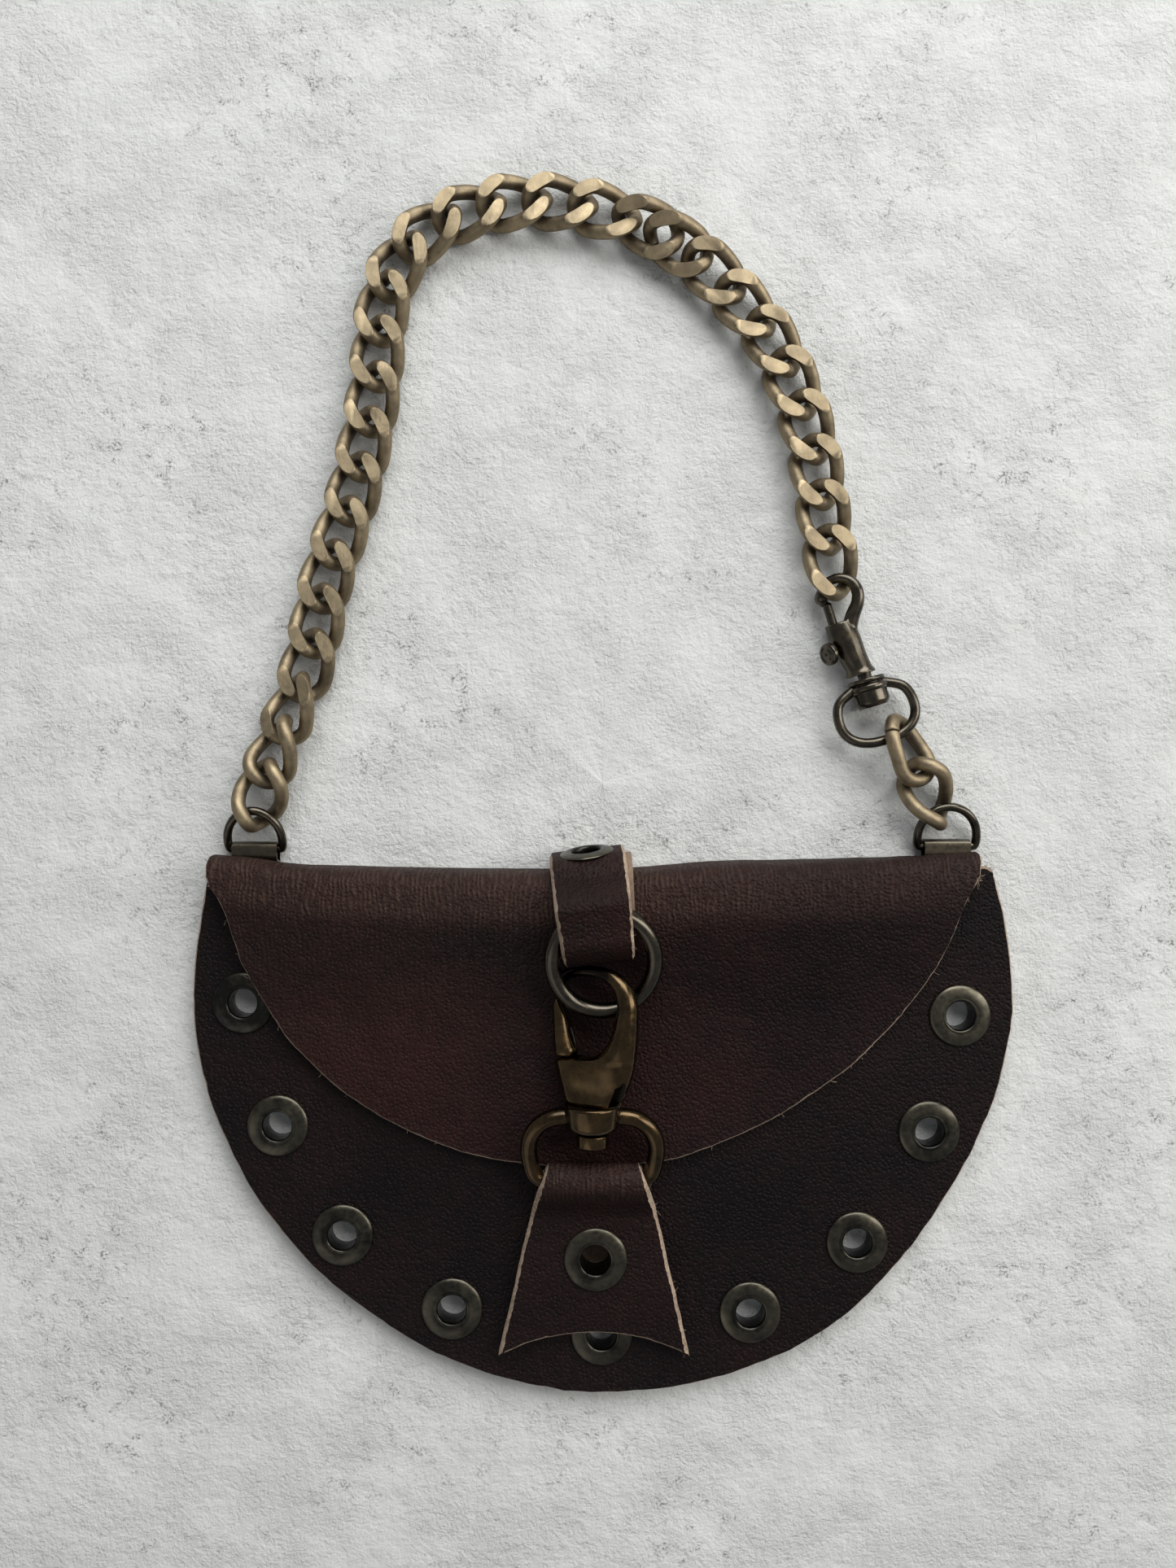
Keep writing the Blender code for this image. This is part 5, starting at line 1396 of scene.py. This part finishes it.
def filed_flat(points, faces, worn, height):
    """The mesh cut off at a height above and below, with flat faces there."""
    work = bmesh.new()
    layer = work.verts.layers.float.new("worn")
    made = []
    for point, value in zip(points, worn):
        vertex = work.verts.new(point)
        vertex[layer] = value
        made.append(vertex)
    for face in faces:
        work.faces.new([made[v] for v in face])
    for side in (1, -1):
        everything = work.verts[:] + work.edges[:] + work.faces[:]
        plane = {"plane_co": (0, 0, side * height), "plane_no": (0, 0, side)}
        bmesh.ops.bisect_plane(work, geom=everything, dist=1e-5, clear_outer=True, **plane)
        rims = [edge for edge in work.edges if edge.is_boundary]
        flats = bmesh.ops.holes_fill(work, edges=rims, sides=0)["faces"]
        for vertex in {v for face in flats for v in face.verts}:
            vertex[layer] = LINK_FLAT_SHINE
    work.verts.index_update()
    points = np.array([tuple(v.co) for v in work.verts])
    worn = np.array([v[layer] for v in work.verts])
    faces = [tuple(v.index for v in face.verts) for face in work.faces]
    work.free()
    return points, faces, worn


def link_mesh(roll, twist, seed, filed, seam_far):
    """One twisted curb link lying along X, filed flat on top: points, faces and rubbed places."""
    bend = (LINK_WIDTH - LINK_WIRE) / 2
    straight = (LINK_LENGTH - LINK_WIRE) / 2 - bend * cos(radians(LINK_END_STEP / 2))
    reach = straight + bend
    arc = pi * bend
    total = 2 * arc + 4 * straight
    seam = arc * (0.5 + SEAM_SHARE + 0.02 * sin(seed * 2.0)) + (total / 2 if seam_far else 0.0)
    near_seam = seam + np.array([-0.3, -0.14, -0.07, 0, 0.07, 0.14, 0.3])
    spots = np.concatenate([np.linspace(0, total, LINK_SPOTS, endpoint=False), near_seam % total])
    spots = np.unique(np.round(spots, 4))
    course = []
    for s in spots:
        part = s % (arc + 2 * straight)
        sign = 1 if s < arc + 2 * straight else -1
        if part < arc:
            angle = part / bend - pi / 2
            x, y = straight + bend * cos(angle), bend * sin(angle)
        else:
            x, y = straight - (part - arc), bend
        x, y = sign * x, sign * y
        turn = radians(-LINK_TWIST * twist * x / reach)
        course.append((x, y * cos(turn), y * sin(turn)))
    course = np.array(course)
    near = bell(spots, seam % total, LINK_SEAM_WIDTH)
    ahead = unit(np.roll(course, -1, 0) - np.roll(course, 1, 0))
    core = np.stack([np.clip(course[:, 0], -straight, straight), 0 * spots, 0 * spots], 1)
    outward = unit(course - core)
    outward = unit(outward - ahead * np.sum(outward * ahead, 1)[:, None])
    rise = np.cross(ahead, outward)
    sides = LINK_SIDES
    rings = []
    for k in range(sides):
        angle = 2 * pi * k / sides
        spread = (1 - LINK_SEAM_DEPTH * near) * LINK_WIRE / 2
        rings.append(course + (outward * cos(angle) + rise * sin(angle)) * spread[:, None])
    points = np.stack(rings, 1).reshape(-1, 3)
    inner = np.tile(-np.cos(2 * pi * np.arange(sides) / sides), len(spots))
    worn = 0.05 * sin(seed * 2.9) - 0.28 * smooth(inner) + 0.10 * smooth(points[:, 2] / 3.0)
    worn -= 0.55 * np.repeat(near, sides) + 0.16 * smooth((points[:, 2] - filed + 0.8) / 0.6)
    faces = tube_faces(len(spots), sides, True)
    if filed < LINK_WIDTH:
        points, faces, worn = filed_flat(points, faces, worn, filed + 0.04 * sin(seed * 1.7))
    return moved(points, turned(roll, "X")), faces, worn


def build_link(name, node, place, heading, roll, tilt, twist, seed):
    filed = LINK_WIDTH if node in UNFILED_LINKS else LINK_FILED
    points, faces, worn = link_mesh(roll, twist, seed, filed, abs(heading) > 90 or heading < -20)
    lay = at(place) @ turned(heading, "Z") @ turned(-tilt, "Y")
    metal_piece(name, (moved(points, lay), faces), BRONZE, node, worn)


def build_chain():
    odd = {row[0]: row[1:] for row in ODD_LINKS}
    for number, ((x, y), heading) in enumerate(chain_places(), 1):
        roll, tilt, lift, twist = odd.get(number, (0.0, 0.0, 0.0, 1.0))
        node = f"link_{number:02d}"
        build_link("curb_" + node, node, (x, y, LINK_Z + lift), heading, roll, tilt, twist, number)
    for k, (name, x, y, z, heading, roll, tilt, twist) in enumerate(SHORT_LINKS):
        node = f"short_link_{name}"
        build_link(f"curb_link_{name}", node, (x, y, z), heading, roll, tilt, twist, 40 + k)


# Bolt snap


# Snap's hook and body, with the columns of the clasp's
SNAP_HOOK_COURSE = (
    (-1.6, 12.5, 1.7), (-0.6, 14.5, 1.75), (1.2, 17.8, 1.7), (3.3, 20.6, 1.5), (4.0, 23.4, 1.4),
    (3.0, 26.0, 1.25), (0.6, 27.3, 1.15), (-2.0, 27.0, 1.15), (-3.7, 25.4, 1.25), (-4.0, 24.2, 1.85),
    (-4.1, 23.3, 1.6), (-4.1, 22.9, 1.0),
)
SNAP_BODY_ROWS = (
    (4.5, -4.3, 2.8, 3.3), (5.2, -4.2, 2.7, 3.15), (6.0, -3.8, 2.3, 2.9), (9.5, -4.6, 1.9, 2.95),
    (14.0, -5.4, 1.7, 2.95), (17.5, -5.5, 1.0, 2.7),
)


def build_snap():
    level = at((SNAP_X, SNAP_Y, SNAP_Z)) @ turned(SNAP_TURN, "Z")
    lay = level @ turned(-SNAP_ROLL, "Y")
    quarter = turned(-90, "X")
    shells = [rows_shell(SNAP_BODY_ROWS, 30, 28, False), hook_arm(SNAP_HOOK_COURSE, 24)]
    casting = fused(shells, SNAP_VOXEL, SNAP_SOFTENING)
    wide, pin = SNAP_SWIVEL_RADIUS, SNAP_PIN_RADIUS
    low, high = SNAP_HEAD
    head = ((0.2, low), (wide, low), (wide, high), (pin, high), (pin, 5.6), (0.2, 5.6))
    points, faces = joined(casting, lathe(head, 0.4, 40, quarter))
    worn = metal_wear(points, 3.0, 0.14, 3.0)
    metal_piece("snap_hook_casting", (moved(points, lay), faces), DARK, "snap_hook", worn, "snap_hook")
    low, high = BOLT_ALONG
    course = [(0, 0, low + 0.8), (0, 0, 16.0), (0, 0, high - 0.6)]
    points, faces = sweep(course, BOLT_RADIUS, 20, up=(0, 1, 0))
    rod = (moved(points, at((BOLT_ACROSS, 0.0, 0.0)) @ quarter), faces)
    low, high = KNOB_OUT
    wide, stem = KNOB_RADIUS, STEM_RADIUS
    knob = ((0.2, 0.0), (stem, 0.0), (stem, low), (wide, low), (wide, high - 0.35), (wide - 0.6, high))
    knob += ((wide - 1.0, high - 0.35), (wide - 1.4, high), (0.2, high))
    outward = turned(KNOB_LIFT, "Y") @ turned(-90, "Y")
    knob = lathe(knob, 0.25, 36, at((BOLT_ACROSS, KNOB_ALONG, 0.0)) @ outward)
    points, faces = joined(rod, knob)
    worn = metal_wear(points, 3.0, 0.1, 5.0)
    metal_piece("snap_bolt_and_knob", (moved(points, lay), faces), DARK, "snap_bolt", worn, "snap_bolt")
    wide, bore = SNAP_BOSS_RADIUS, SNAP_PIN_RADIUS + 0.3
    low, high = SNAP_BOSS
    boss = ((bore, high + 0.2), (wide + 0.1, high + 0.2), (wide + 0.1, high - 0.8), (wide - 0.8, high - 0.9))
    boss += ((wide - 0.8, high - 1.2), (wide + 0.3, high - 1.3), (wide + 0.3, high - 2.5))
    boss += ((wide - 0.25, high - 2.8), (wide - 0.1, SNAP_CUP_END + 0.9), (wide - 0.9, SNAP_CUP_END))
    boss += ((SNAP_CUP_BORE, SNAP_CUP_END), (SNAP_CUP_BORE, low), (bore, low))
    boss = lathe(boss, 0.5, 48, level @ quarter)
    top = (SNAP_BOSS[0] + SNAP_BOSS[1]) / 2
    middle = (top + SNAP_EYE_REACH) / 2
    tall = (top - SNAP_EYE_REACH) / 2
    course = [(-SNAP_PIN_RADIUS - 1.3, top - 0.05)]
    for k in range(1, 13):
        turn = radians(115 + 310 * k / 13)
        across, along = signed_power(cos(turn), 0.85), signed_power(sin(turn), 0.85)
        course.append((SNAP_EYE_HALF_WIDTH * across, middle + tall * along))
    course.append((SNAP_PIN_RADIUS + 1.3, top - 0.05))
    loop = spline([(x, y, 0.2 + SNAP_EYE_RISE * (top - y)) for x, y in course], 120)
    points, faces = sweep(loop, SNAP_EYE_WIRE / 2, 20)
    mesh = joined(boss, (moved(points, level), faces))
    metal_piece("snap_eye_casting", mesh, DARK, "snap_eye", metal_wear(mesh[0], 3.0, 0.1, 8.0))


# Stage, light and camera


def build_stage():
    corners = ((-1, -1), (1, -1), (1, 1), (-1, 1))
    mesh = bpy.data.meshes.new("floor")
    mesh.from_pydata([(x * FLOOR_HALF, y * FLOOR_HALF, 0) for x, y in corners], [], [(0, 1, 2, 3)])
    mesh.materials.append(floor_material())
    floor = bpy.data.objects.new("floor", mesh)
    bpy.context.scene.collection.objects.link(floor)


def build_light():
    world = bpy.data.worlds.new("room")
    world.use_nodes = True
    sky = world.node_tree.nodes["Background"].inputs
    sky["Color"].default_value = SKY_COLOUR
    sky["Strength"].default_value = SKY_STRENGTH
    bpy.context.scene.world = world
    for name, place, target, size, power, colour in LIGHTS:
        data = bpy.data.lights.new(name, "AREA")
        data.shape = "RECTANGLE"
        data.size, data.size_y = size
        data.energy = power
        data.color = colour
        lamp = bpy.data.objects.new(name, data)
        lamp.matrix_world = pointing(Vector(place) - Vector(target), place)
        bpy.context.scene.collection.objects.link(lamp)
    bpy.context.scene.view_settings.view_transform = "Standard"


def build_camera():
    data = bpy.data.cameras.new("camera")
    data.lens = CAMERA_LENS
    data.sensor_width = CAMERA_SENSOR
    data.clip_start = CAMERA_CLIP_START
    camera = bpy.data.objects.new("camera", data)
    camera.location = Vector(CAMERA_PLACE) * MM
    bpy.context.scene.collection.objects.link(camera)
    bpy.context.scene.camera = camera


build_camera()
build_light()
build_stage()
build_back()
build_front()
build_strap()
build_tab()
build_eyelets()
build_ring()
build_clasp()
build_d_rings()
build_chain()
build_snap()
